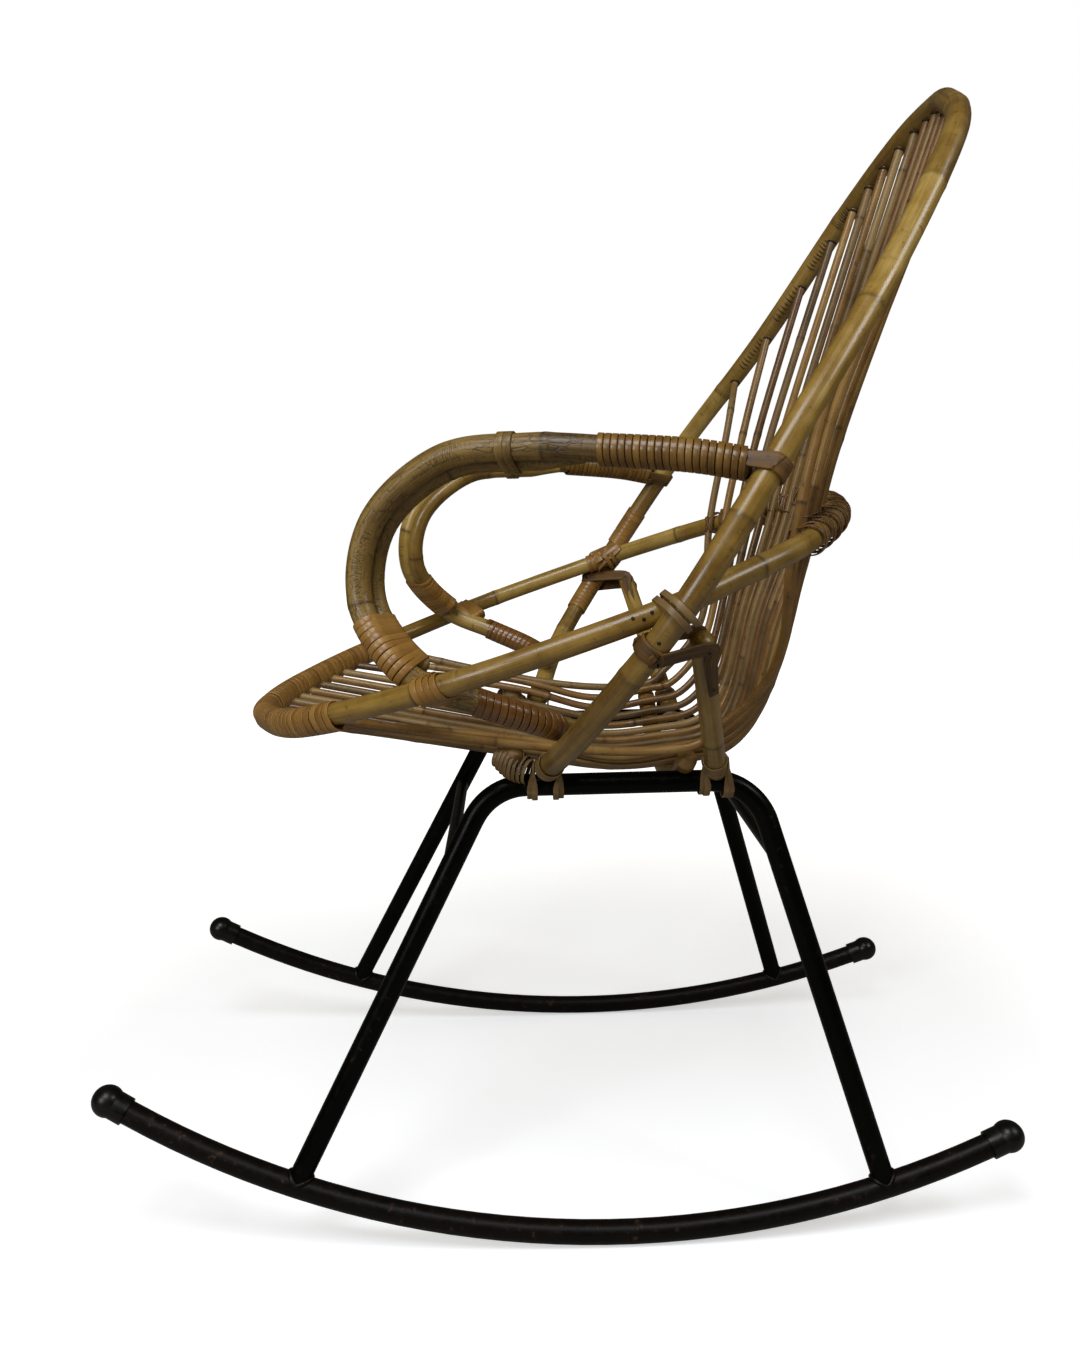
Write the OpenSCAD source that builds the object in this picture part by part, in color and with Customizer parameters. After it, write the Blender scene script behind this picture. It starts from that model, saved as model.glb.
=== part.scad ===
// Rattan rocking chair: a bent-cane seat and back lashed to a welded tube base on two rockers.
// Millimetres, Z up, the chair faces -Y, and its left side is at +X.
// Sideways the origin is midway, and fore and aft it is midway between the rockers' caps.

/* [Rockers] */
// Outside diameter of the steel tube
tube_d = 20; // [16:1:25]
// Wall of the steel tube
tube_wall = 1.5; // [1:0.25:2.5]
// Radius of the rocker's centreline
rocker_r = 830; // [700:10:1000]
// Reach of the front cap's tip ahead of the point that touches the floor
rocker_front = 450; // [420:5:480]
// Reach of the rear cap's tip behind the point that touches the floor
rocker_rear = 346; // [320:5:380]
// Half the spacing of the rockers where they touch the floor
base_half_w = 210; // [190:2:235]
// Inward lean of each side frame, in degrees
splay = 11.4; // [8:0.2:14]

/* [Legs] */
// Place of the front foot along the rocker, ahead of the floor contact
foot_front = 279; // [260:1:295]
// Place of the rear foot along the rocker, behind the floor contact
foot_rear = 225; // [210:1:240]
// Place of the seat rail's front corner, ahead of the floor contact
rail_front = 107; // [98:1:125]
// Place of the seat rail's rear corner, behind the floor contact
rail_rear = 122; // [112:1:140]
// Height of the seat rail's centreline up the side frame
rail_h = 392; // [372:2:412]
// Bend radius of the two corners, at the centreline
corner_r = 52; // [40:1:60]
// Diameter of the two cross tubes
stretcher_d = 12; // [8:1:16]
// Wall of the two cross tubes
stretcher_wall = 1.2; // [0.8:0.1:2]
// Height of the cross tubes up the side frame
stretcher_h = 320; // [290:5:330]

/* [Rocker caps] */
// Diameter of the cap's sleeve
cap_d = 24; // [22:0.5:28]
// Diameter of the ball at the cap's end
cap_ball_d = 27; // [24:0.5:31]
// Length of the whole cap
cap_len = 32; // [26:1:40]
// Wall of rubber between the tube's end and the tip
cap_nose = 12; // [8:1:16]

/* [Back hoop] */
// Diameter of the hoop's pole
hoop_d = 20; // [18:0.5:23]
// Widest spacing of the hoop's centreline
hoop_w = 598; // [570:2:630]
// Height of the hoop's centreline at its top
hoop_top = 966; // [936:3:996]
// Reach of the top behind the floor contact
hoop_reach = 305; // [290:3:320]

/* [Seat ring] */
// Diameter of the ring's pole
ring_d = 18; // [15:0.5:19]
// Widest spacing of the ring's centreline
ring_w = 562; // [540:2:580]
// Reach of the ring's front ahead of the floor contact
ring_front = 320; // [300:2:335]
// Height of the ring's centreline at the front
ring_front_z = 436; // [426:1:446]
// Rise of the ring from its front to its rear
ring_rise = 182; // [172:1:187]

/* [Arms] */
// Diameter of the arm's pole
arm_d = 20; // [17:0.5:22]
// Diameter of the thinner pole inside the arm's bend
ply_d = 16; // [13:0.5:18]
// Height of the arm's centreline at its highest
arm_top = 667; // [650:1:680]
// Spacing of the two arms at their fronts
arm_w = 406; // [390:2:420]

/* [Rear struts] */
// Diameter of the strut's pole
strut_d = 18; // [15:0.5:20]
// Place of the strut's foot on the seat rail, behind the floor contact
strut_y = 88; // [86:1:92]
// Width of the thinned pole end that loops over the hoop
strap_w = 13; // [9:0.5:16]
// Thickness of a thinned pole end
strap_t = 2.5; // [1.5:0.25:3.5]

/* [Rods] */
// Diameter of a rod
rod_d = 8; // [6:0.5:9]
// Spacing of the outermost rods on the seat
seat_w = 306; // [292:2:308]
// Spacing of the outermost rods at the seat's front edge
edge_w = 396; // [370:2:410]
// Spacing of the outermost rods where they enter the hoop
top_w = 470; // [450:2:490]
// Depth of the rod holes in the hoop
hole_depth = 7; // [4:0.5:10]
// Clearance round a rod in its hole
hole_gap = 0.3; // [0.2:0.05:0.5]

/* [Crossbars] */
// Diameter of the two crossbars under the rods
bar_d = 18; // [15:0.5:20]
// Length of the crossbars, along X
bar_len = 296; // [286:2:306]
// Place of the front crossbar, ahead of the floor contact
bar_front = 87; // [80:1:94]
// Place of the rear crossbar, behind the floor contact
bar_rear = 62; // [54:1:63]
// Sag of the front crossbar's middle
sag_front = 32; // [22:1:38]
// Sag of the rear crossbar's middle
sag_rear = 36; // [28:1:42]
// Height of the rear crossbar's centre over the rail's, where it is notched to fit
bar_seat = 15.5; // [14:0.5:19]

/* [Cane winding] */
// Thickness of the flat cane
cane_t = 1.2; // [0.8:0.1:1.6]
// Turns round each half of the seat's front edge
edge_turns = 19; // [12:1:24]
// Width of the cane on the front edge
edge_cane_w = 10; // [6:0.5:10.5]
// Turns round the rear end of each arm
arm_turns = 17; // [10:1:20]
// Width of the cane on the arms
arm_cane_w = 5; // [3:0.25:5.5]
// Turns round the lower end of each arm
low_turns = 10; // [6:1:12]
// Turns where the arm's two poles come together
join_turns = 7; // [4:1:9]
// Width of the cane in a lashing
lash_w = 6; // [4:0.5:7]

/* [Hidden] */

$fn = 64;

// Flats in one turn of wound cane
WIND_STEPS = 8;
// Length over which a winding follows its pole's direction
WIND_REACH = 9;
// Clearance between cane pieces that lie on each other
seat_gap = 0.3;
// Fore and aft place of the rockers' contact with the floor
contact_y = (rocker_front - rocker_rear) / 2;

// Seat rail: its centre and its top
rail_x = base_half_w - (rail_h - tube_d / 2) * sin(splay);
rail_z = tube_d / 2 + (rail_h - tube_d / 2) * cos(splay);
leg_d = tube_d - 1;
rail_top = rail_z + leg_d / 2;

cane = "#b08d3c";
bark = "#8f6f35";
wrap = "#8a5a24";
steel = "#17181a";
rubber = "#0c0c0d";

// Vectors
function unit(v) = v / norm(v);
function lerp(a, b, t) = a + (b - a) * t;
function swap_side(pts) = [for (p = pts) [-p.x, p.y, p.z]];
function reversed(v) = [for (i = [len(v) - 1 : -1 : 0]) v[i]];

// Smooth curve through the points p, with n steps to a span
function span(a, b, c, d, t) = (2 * b + (c - a) * t + (2 * a - 5 * b + 4 * c - d) * t * t
    + (3 * b - a - 3 * c + d) * t * t * t) / 2;
function curve(p, n) = let (m = len(p) - 1, q = concat([2 * p[0] - p[1]], p, [2 * p[m] - p[m - 1]]))
    concat([for (i = [0 : m - 1], k = [0 : n - 1]) span(q[i], q[i + 1], q[i + 2], q[i + 3], k / n)], [p[m]]);
function loop_curve(p, n) = let (m = len(p))
    [for (i = [0 : m - 1], k = [0 : n - 1])
        span(p[(i + m - 1) % m], p[i], p[(i + 1) % m], p[(i + 2) % m], k / n)];

// Point, length and direction along a polyline
function lengths(p) = [for (i = 0, s = 0; i < len(p);
    s = s + (i + 1 < len(p) ? norm(p[i + 1] - p[i]) : 0), i = i + 1) s];
function index_at(s, d, i = 0) = i >= len(s) - 2 || s[i + 1] >= d ? i : index_at(s, d, i + 1);
function point_at(p, s, d) = let (i = index_at(s, d))
    lerp(p[i], p[i + 1], (d - s[i]) / (s[i + 1] - s[i]));
function cut(p, from, to, n) = let (s = lengths(p))
    [for (k = [0 : n]) point_at(p, s, lerp(from, to, k / n))];
function path_length(p) = let (s = lengths(p)) s[len(s) - 1];
function tangent(p, i) = unit(p[min(i + 1, len(p) - 1)] - p[max(i - 1, 0)]);

// Side vectors of each ring of a tube, carried along the path without twist
function first_side(t) = unit(cross(t, abs(t.z) < 0.8 ? [0, 0, 1] : [0, 1, 0]));
function sides(p) = [for (i = 0, v = first_side(tangent(p, 0)); i < len(p); i = i + 1,
    v = i < len(p) ? unit(v - (v * tangent(p, i)) * tangent(p, i)) : v) v];

// Skin over n rings of k points, closed at both ends
module skin(pts, n, k) {
    walls = [for (i = [0 : n - 2], j = [0 : k - 1])
        each let (a = i * k + j, b = i * k + (j + 1) % k, c = a + k, d = b + k) [[a, d, b], [a, c, d]]];
    lids = [for (j = [1 : k - 2]) each let (m = (n - 1) * k) [[0, j, j + 1], [m, m + j + 1, m + j]]];
    polyhedron(pts, concat(walls, lids));
}

// Round tube of k sides along p, with the radius rad[i] at each point
module tube(p, rad, k) {
    side = sides(p);
    pts = [for (i = [0 : len(p) - 1], j = [0 : k - 1])
        let (t = tangent(p, i), a = side[i], b = cross(t, a), w = 360 * (j + 0.5) / k)
        p[i] + rad[i] * (cos(w) * a + sin(w) * b)];
    skin(pts, len(p), k);
}

// Closed tube of k sides round the loop p
module loop_tube(p, r, k) {
    n = len(p);
    pts = [for (i = [0 : n - 1], j = [0 : k - 1])
        let (t = unit(p[(i + 1) % n] - p[(i + n - 1) % n]), a = unit(cross(t, [0, 0, 1])), b = cross(t, a),
            w = 360 * (j + 0.5) / k)
        p[i] + r * (cos(w) * a + sin(w) * b)];
    polyhedron(pts, [for (i = [0 : n - 1], j = [0 : k - 1])
        each let (a = i * k + j, b = i * k + (j + 1) % k, c = ((i + 1) % n) * k + (j + 1) % k,
            d = ((i + 1) % n) * k + j) [[a, c, b], [a, d, c]]]);
}

// Flat cane through the points q[i][0], with its back towards q[i][1], w[i] wide and t thick
module ribbon(q, w, t) {
    n = len(q) - 1;
    pts = [for (i = [0 : n]) let (f = unit(q[min(i + 1, n)][0] - q[max(i - 1, 0)][0]), o = q[i][1],
        a = unit(cross(o, f)) * w[i] / 2) each [q[i][0] - a, q[i][0] + a, q[i][0] + a + o * t, q[i][0] - a + o * t]];
    skin(pts, n + 1, 4);
}

// Flat cane wound along p from the length a to b. Each turn goes round a pole of radius r,
// or round two that lie side by side, with their centres at 2 * half from each other.
function clear_of(r) = (r + seat_gap) / cos(180 / WIND_STEPS);
function wound(p, a, b, turns, r, half, aim) = let (s = lengths(p), n = turns * WIND_STEPS)
    [for (k = [0 : n]) let (d = lerp(a, b, k / n), c = point_at(p, s, d),
        f = unit(point_at(p, s, d + WIND_REACH) - point_at(p, s, d - WIND_REACH)), u = towards(f, is_undef(aim) ? ply_side(c, f) : aim),
        v = cross(f, u), w = 360 * (k + 0.5) / WIND_STEPS, o = cos(w) * u + sin(w) * v)
        [c + u * (half + sign(cos(w)) * half) + o * clear_of(r), o, f]];
module winding(name, p, a, b, turns, r, w, half = 0, aim = [0, 0, 1]) {
    q = wound(p, a, b, turns, r, half, aim);
    n = len(q);
    pts = [for (g = q) let (x = g[2] * w / 2, o = g[1] * cane_t) each [g[0] - x, g[0] + x, g[0] + x + o, g[0] - x + o]];
    echo(str(name, ": least gap between turns"), min([for (i = [0 : n - WIND_STEPS - 1])
        norm(q[i + WIND_STEPS][0] - q[i][0])]) - w);
    skin(pts, n, 4);
}

// Curves of the cane, with Y measured from the floor contact
ROD_PAIRS = 9;
CURVE_STEPS = 4;
EASE = 1.5;
edge_r = (ring_d / 2 + seat_gap) / cos(180 / WIND_STEPS) + cane_t;
edge_pad = rod_d / 2;
hoop_x = hoop_w / 2;
hoop_rise = hoop_top - rail_top;
back_bow = 9.9;
BOW_POWER = 2.5;
rod_rear = 187.5;
rod_rear_z = 592;
rod_lean = 0.28;
seat_cup = 18;

// Pole of the back, from its left foot to the middle of its top
hoop_half = [
    [rail_x + 18, -59, rail_top + 8],
    [hoop_x - 53, -29, rail_top + 0.113 * hoop_rise],
    [hoop_x, 36, rail_top + 0.279 * hoop_rise],
    [hoop_x - 21, 117, rail_top + 0.492 * hoop_rise],
    [hoop_x * 0.723, hoop_reach * 0.655, rail_top + 0.695 * hoop_rise],
    [hoop_x * 0.505, hoop_reach * 0.88, rail_top + 0.89 * hoop_rise],
    [hoop_x * 0.215, hoop_reach * 0.968, rail_top + 0.976 * hoop_rise],
    [0, hoop_reach, hoop_top]];
hoop_right = [for (i = [len(hoop_half) - 2 : -1 : 0]) [-hoop_half[i].x, hoop_half[i].y, hoop_half[i].z]];
hoop_path = curve(concat(hoop_half, hoop_right), CURVE_STEPS);
hoop_side = [for (i = [0 : CURVE_STEPS * (len(hoop_half) - 1)]) hoop_path[i]];

// Widths across the rods, from the seat up to the hoop
half_seat = seat_w / 2;
half_edge = edge_w / 2;
half_top = top_w / 2;
function bowed(y, x, bow = back_bow) = y - bow * pow(abs(x) / 100, BOW_POWER);
function bar_arc(sag) = (rail_x * rail_x + sag * sag) / (2 * sag);
function bar_flat(x, sag) = sqrt(1 - pow(x / bar_arc(sag), 2));
coil_t = (bar_d / 2 + seat_gap) / cos(180 / WIND_STEPS) + cane_t - bar_d / 2;
front_seat = (leg_d / 2 + bar_d / 2 + coil_t + seat_gap) / bar_flat(rail_x, sag_front);
function bar_z(x, sag, seat) = rail_z + seat - sag + bar_arc(sag) * (1 - bar_flat(x, sag));
function on_bar(x, sag, seat, coil) = let (k = min(x, bar_len / 2 - rod_d)) bar_z(k, sag, seat)
    + ((bar_d + rod_d) / 2 + seat_gap + (k > bar_len / 2 - 30 ? coil : 0)) / bar_flat(k, sag) + seat_gap;

// Seat ring: round the front edge, and behind the rods at the rear
ring_rear_z = ring_front_z + ring_rise;
ring_back = ((ring_d + rod_d) / 2 + 4 * seat_gap) * sqrt(1 + pow(rod_lean, 2));
function ring_rear(x, z) = bowed(rod_rear + rod_lean * (z - rod_rear_z), x)
    + ring_back * sqrt(1 + pow(BOW_POWER * back_bow / 100 * pow(x / 100, BOW_POWER - 1), 2));
ring_x = ring_w / 2;
ring_half = [
    [0, -ring_front, ring_front_z],
    [0.3 * ring_x, 15 - ring_front, ring_front_z + 0.03 * ring_rise],
    [0.68 * ring_x, 71 - ring_front, ring_front_z + 0.126 * ring_rise],
    [0.968 * ring_x, -122, ring_front_z + 0.357 * ring_rise],
    [ring_x - 2, 20, ring_front_z + 0.615 * ring_rise],
    [0.904 * ring_x, 80, ring_front_z + 0.731 * ring_rise],
    [0.73 * ring_x, ring_rear(0.73 * ring_x, ring_front_z + 0.852 * ring_rise) - 1.6, ring_front_z + 0.852 * ring_rise],
    [0.36 * ring_x, ring_rear(0.36 * ring_x, ring_front_z + 0.951 * ring_rise), ring_front_z + 0.951 * ring_rise],
    [0, ring_rear(0, ring_rear_z), ring_rear_z]];
ring_path = loop_curve(concat(ring_half,
    [for (i = [len(ring_half) - 2 : -1 : 1]) [-ring_half[i].x, ring_half[i].y, ring_half[i].z]]), CURVE_STEPS);
ring_side = [for (i = [0 : CURVE_STEPS * (len(ring_half) - 1)]) ring_path[i]];

// First place where the path p reaches the value v along the axis k
function crossing(p, k, v, i = 0) = i >= len(p) - 2 || (p[i][k] - v) * (p[i + 1][k] - v) <= 0
    ? lerp(p[i], p[i + 1], (v - p[i][k]) / (p[i + 1][k] - p[i][k])) : crossing(p, k, v, i + 1);
function heading(p, k, v, i = 0) = i >= len(p) - 2 || (p[i][k] - v) * (p[i + 1][k] - v) <= 0
    ? unit(p[i + 1] - p[i]) : heading(p, k, v, i + 1);

// Length that a pole of radius r, met at the cosine c, keeps back from an axis to clear the radius q
function stand_off(q, r, c) = (q + r * abs(c)) / sqrt(1 - c * c);

// Rod at u, from -1 at the right to 1 at the left, from the front edge to its hole in the hoop
function rod_top(u) = let (a = half_top * abs(u), h = crossing(reversed(hoop_half_top), 0, max(a, 0.01)))
    [sign(u) * a, h.y, h.z];
hoop_half_top = [for (p = hoop_side) if (p.z > rail_top + 0.4 * hoop_rise && p.x >= -1) p];
function hoop_heading(u) = let (d = heading(reversed(hoop_half_top), 0, max(half_top * abs(u), 0.01)))
    [u < 0 ? -d.x : d.x, d.y, d.z];
function rod_points(u) = let (
    xe = half_edge * abs(u), e = crossing(ring_side, 0, max(xe, 0.01)), g = heading(ring_side, 0, max(xe, 0.01)),
    xb = lerp(half_seat, half_edge, 0.27) * abs(u),
    b = [xb, -bar_front, on_bar(xb, sag_front, front_seat, coil_t)],
    d = unit(b - e), xs = half_seat * abs(u))
    concat([e + d * (stand_off(edge_r + edge_pad + seat_gap, rod_d / 2, d * g)), b,
        [xs, 0, rail_top - 19 + seat_cup * pow(xs / 100, 2)],
        [xs, bar_rear, on_bar(xs, sag_rear, bar_seat, 0)]],
        [for (k = [[0.02, 113.5, 388, 19, 10.2], [0.18, 139.5, 425, 15, 6.1], [0.32, 159, 510, 0, 5.7],
            [0.43, rod_rear, rod_rear_z, 0, back_bow], [0.52, 216, 694, 0, 10.5]])
            let (x = lerp(half_seat, half_top, k[0]) * abs(u))
            [x, bowed(k[1], x, k[4]), k[2] + k[3] * pow(x / 100, 2)]]);
function rod_path(u) = let (
    p = rod_points(u), m = len(p) - 1, h = rod_top(abs(u)), d = unit(h - p[m]),
    c = d * hoop_heading(abs(u)),
    end = h - d * ((hoop_d / 2 - hole_depth) / sqrt(1 - c * c)),
    q = concat(curve(p, 2), [end]))
    u < 0 ? swap_side(q) : q;

// Arm pole, from the hoop forward, down and back to the hoop's foot
arm_x = arm_w / 2;
arm_rear_z = arm_top - 19;
arm_joint = crossing(hoop_side, 2, arm_rear_z);
arm_joint_heading = heading(hoop_side, 2, arm_rear_z);
arm_half = [
    [arm_x + 69, 45, arm_top - 9],
    [arm_x + 52, -9, arm_top - 4],
    [arm_x + 33, -71, arm_top],
    [arm_x + 14, -135, arm_top - 7],
    [arm_x - 2, -189, arm_top - 52],
    [arm_x + 3, -200, arm_top - 116],
    [arm_x + 29, -163, arm_top - 168],
    [arm_x + 19, -108, arm_top - 193],
    [arm_x + 4, -68, arm_top - 210],
    [rail_x + 44, -40, rail_top + 48]];
arm_dir = unit(arm_joint - arm_half[0]);
arm_start = arm_joint - arm_dir * stand_off(hoop_d / 2 + seat_gap, arm_d / 2, arm_dir * arm_joint_heading);
arm_path = cut(curve(concat([arm_start], arm_half), 8), 0, path_length(curve(concat([arm_start], arm_half), 8)), 44);
arm_s = lengths(arm_path);
arm_len = arm_s[len(arm_s) - 1];

// Frame of a winding on two poles side by side: along the path, and towards the second pole
function towards(f, v) = unit(v - (v * f) * f);
arm_heart = [arm_x + 30, -110, arm_top - 85];
function ply_side(c, f) = towards(f, 0.86 * towards(f, [-1, 0, 0]) + 0.51 * towards(f, arm_heart - c));
module from_contact() translate([0, contact_y, 0]) children();

module side_of(s) {
    if (s < 0) mirror([1, 0, 0]) children();
    else children();
}

// Plane of a side frame: X runs to the rear from the floor contact, and Y up the frame
module side_plane(s)
    side_of(s) translate([base_half_w, contact_y, tube_d / 2]) rotate([0, -splay, 0]) rotate([90, 0, 90]) children();

// Angle, round the rocker's centre, of the middle of the cap's sleeve
sleeve = cap_len - cap_nose;
ball_ahead = cap_len - cap_ball_d / 2 - sleeve / 2;
function cap_angle(reach) = asin((reach - cap_ball_d / 2) / norm([rocker_r, ball_ahead]))
    - atan(ball_ahead / rocker_r);
tube_angle_front = cap_angle(rocker_front) + (sleeve / 2 - seat_gap) / rocker_r * 180 / PI;
tube_angle_rear = cap_angle(rocker_rear) + (sleeve / 2 - seat_gap) / rocker_r * 180 / PI;

module arc_of(r, from, to) rotate([0, 0, from]) rotate_extrude(angle = to - from, $fn = 256) translate([r, 0]) children();
module ring_profile(d, wall) difference() {
    circle(d = d);
    circle(d = d - 2 * wall);
}

module rocker(s) color(steel) side_plane(s) translate([0, rocker_r])
    arc_of(rocker_r, -90 - tube_angle_front, -90 + tube_angle_rear) ring_profile(tube_d, tube_wall);
module rocker_left() rocker(1);
module rocker_right() rocker(-1);

// Leg hoop: feet on the rocker, and two bends under the seat rail
rail_up = rail_h - tube_d / 2;
function on_rocker(x) = [x, rocker_r - sqrt(pow(rocker_r, 2) - x * x)];
foot_a = on_rocker(-foot_front);
foot_b = on_rocker(foot_rear);
corner_a = [-rail_front, rail_up];
corner_b = [rail_rear, rail_up];
turn_a = atan2(corner_a.y - foot_a.y, corner_a.x - foot_a.x);
turn_b = atan2(corner_b.y - foot_b.y, foot_b.x - corner_b.x);
back_a = corner_r * tan(turn_a / 2);
back_b = corner_r * tan(turn_b / 2);

module run(p, angle, length) translate(p) rotate([0, 0, angle]) rotate([0, 90, 0]) linear_extrude(length) children();

// Outline of the bent tube: the bends are fuller by grow, and each straight runs on into them by LAP
LAP = 2;
BULGE = 0.2;
module leg_line(d, grow) {
    run(foot_a, turn_a, norm(corner_a - foot_a) - back_a + LAP) circle(d = d);
    run(foot_b, 180 - turn_b, norm(corner_b - foot_b) - back_b + LAP) circle(d = d);
    translate([corner_a.x + back_a, rail_up - corner_r]) arc_of(corner_r, 90, 90 + turn_a) circle(d = d + grow);
    translate([corner_b.x - back_b, rail_up - corner_r]) arc_of(corner_r, 90 - turn_b, 90) circle(d = d + grow);
    run([corner_a.x + back_a - LAP, rail_up], 0, corner_b.x - corner_a.x - back_a - back_b + 2 * LAP) circle(d = d);
}
module leg_hoop(s) color(steel) side_plane(s) difference() {
    leg_line(leg_d, BULGE);
    leg_line(leg_d - 2 * tube_wall, -BULGE);
    translate([0, rocker_r]) arc_of(rocker_r, -90 - tube_angle_front, -90 + tube_angle_rear) circle(d = tube_d);
}
module leg_hoop_left() leg_hoop(1);
module leg_hoop_right() leg_hoop(-1);

// Rubber cap: a sleeve with a ball at its end
module cap(s, front) color(rubber) side_plane(s) translate([0, rocker_r])
    rotate([0, 0, front ? -90 - cap_angle(rocker_front) : -90 + cap_angle(rocker_rear)])
    translate([rocker_r, 0]) rotate([front ? 90 : -90, 0, 0]) translate([0, 0, -sleeve / 2]) difference() {
        union() {
            cylinder(h = cap_len - cap_ball_d / 2, d = cap_d);
            translate([0, 0, cap_len - cap_ball_d / 2]) sphere(d = cap_ball_d);
        }
        translate([0, 0, -cap_ball_d]) cylinder(h = cap_ball_d + sleeve, d = tube_d + 2 * seat_gap);
    }
module cap_front_left() cap(1, true);
module cap_front_right() cap(-1, true);
module cap_rear_left() cap(1, false);
module cap_rear_right() cap(-1, false);

// Cross tube between the two side frames, coped to the legs
stretcher_up = stretcher_h - tube_d / 2;
function up_leg(foot, corner) = lerp(foot, corner, (stretcher_up - foot.y) / (corner.y - foot.y)).x;
module stretcher(y, foot, angle, length) color(steel) difference() {
    translate([0, contact_y + y, tube_d / 2 + stretcher_up * cos(splay)]) rotate([0, 90, 0])
        linear_extrude(2 * (base_half_w - stretcher_up * sin(splay)), center = true) ring_profile(stretcher_d, stretcher_wall);
    for (s = [-1, 1]) side_plane(s) run(foot, angle, length) circle(d = leg_d);
}
module front_stretcher() stretcher(up_leg(foot_a, corner_a), foot_a, turn_a, norm(corner_a - foot_a));
module rear_stretcher() stretcher(up_leg(foot_b, corner_b), foot_b, 180 - turn_b, norm(corner_b - foot_b));

// Bent poles
function eased(p, e) = let (m = len(p) - 1) concat([p[0], p[0] + e * unit(p[1] - p[0])],
    [for (i = [1 : m - 1]) p[i]], [p[m] - e * unit(p[m] - p[m - 1]), p[m]]);
module pole(p, d, k) {
    q = eased(p, EASE);
    n = len(q) - 1;
    tube(q, [for (i = [0 : n]) i == 0 || i == n ? d / 2 - EASE : d / 2], k);
}

// The hoop, with a hole drilled for the top of each rod
module back_hoop() color(cane) from_contact() difference() {
    pole(hoop_path, hoop_d, 10);
    for (i = [-ROD_PAIRS : ROD_PAIRS]) let (p = rod_path(i / ROD_PAIRS), m = len(p) - 1, d = unit(p[m] - p[m - 1]))
        translate(p[m] + seat_gap * d) rotate([0, acos(-d.z), atan2(-d.y, -d.x)])
            cylinder(h = 2 * hoop_d, d = rod_d + 2 * hole_gap, $fn = 24);
}

module seat_ring() color(cane) from_contact() loop_tube(ring_path, ring_d / 2, 8);

module crossbar(y, sag, seat) color(bark) from_contact() {
    half = asin(bar_len / 2 / bar_arc(sag));
    difference() {
        translate([0, y, bar_z(0, sag, seat) + bar_arc(sag)]) rotate([90, 0, 0])
            arc_of(bar_arc(sag), -90 - half, -90 + half) circle(d = bar_d);
        for (s = [-1, 1]) translate([s * rail_x, y, rail_z]) rotate([90, 0, 0])
            cylinder(h = 2 * bar_d, d = leg_d + 2 * seat_gap, center = true);
    }
}
module front_crossbar() crossbar(-bar_front, sag_front, front_seat);
module rear_crossbar() crossbar(bar_rear, sag_rear, bar_seat);

module rod(n) color(bark) from_contact() {
    p = rod_path((n - 1 - ROD_PAIRS) / ROD_PAIRS);
    tube(p, [for (q = p) rod_d / 2], 8);
}
module rod_1() rod(1);
module rod_2() rod(2);
module rod_3() rod(3);
module rod_4() rod(4);
module rod_5() rod(5);
module rod_6() rod(6);
module rod_7() rod(7);
module rod_8() rod(8);
module rod_9() rod(9);
module rod_10() rod(10);
module rod_11() rod(11);
module rod_12() rod(12);
module rod_13() rod(13);
module rod_14() rod(14);
module rod_15() rod(15);
module rod_16() rod(16);
module rod_17() rod(17);
module rod_18() rod(18);
module rod_19() rod(19);

// Arm: its rear end is thinned to a strap that loops round the hoop and comes back under the pole
function ring_round(c, u, v, r, from, to, n) = [for (k = [0 : n])
    let (w = lerp(from, to, k / n), o = cos(w) * u + sin(w) * v) [c + r * o, o]];
function strap_r(r) = (r + seat_gap) / cos(22.5);
tail_w = strap_w / 2;
module arm(s) color(cane) side_of(s) from_contact() {
    pole(arm_path, arm_d, 8);
    h = arm_joint_heading;
    f = towards(h, arm_dir);
    n = cross(f, h).x > 0 ? cross(f, h) : -cross(f, h);
    ribbon(concat([for (k = [30, 2]) [point_at(arm_path, arm_s, k) + n * (arm_d / 2 - strap_t - 2 * seat_gap), n]],
        ring_round(arm_joint, n, f, strap_r(hoop_d / 2), 0, 180, 4),
        [for (k = [4, 20, 40, 60, 80]) [point_at(arm_path, arm_s, k) - n * (arm_d / 2 + seat_gap), -n]]),
        [tail_w, tail_w, strap_w, strap_w, strap_w, strap_w, strap_w, tail_w, tail_w, tail_w, tail_w, tail_w], strap_t);
}
module arm_left() arm(1);
module arm_right() arm(-1);

// Second pole inside the arm's bend, with a thinned tail at its rear
ply_from = 0.2 * arm_len;
ply_to = 0.765 * arm_len;
PLY_STEPS = 24;
function ply_radius(k) = ply_d / 2 * min(1, 0.35 + k / 4);
ply_path = [for (k = [0 : PLY_STEPS]) let (d = lerp(ply_from, ply_to, k / PLY_STEPS), c = point_at(arm_path, arm_s, d),
    f = unit(point_at(arm_path, arm_s, d + 1) - point_at(arm_path, arm_s, d - 1)))
    c + ply_side(c, f) * (arm_d / 2 + ply_radius(k) + seat_gap)];
module arm_ply(s) color(cane) side_of(s) from_contact()
    tube(ply_path, [for (k = [0 : PLY_STEPS]) ply_radius(k)], 8);
module arm_ply_left() arm_ply(1);
module arm_ply_right() arm_ply(-1);

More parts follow.
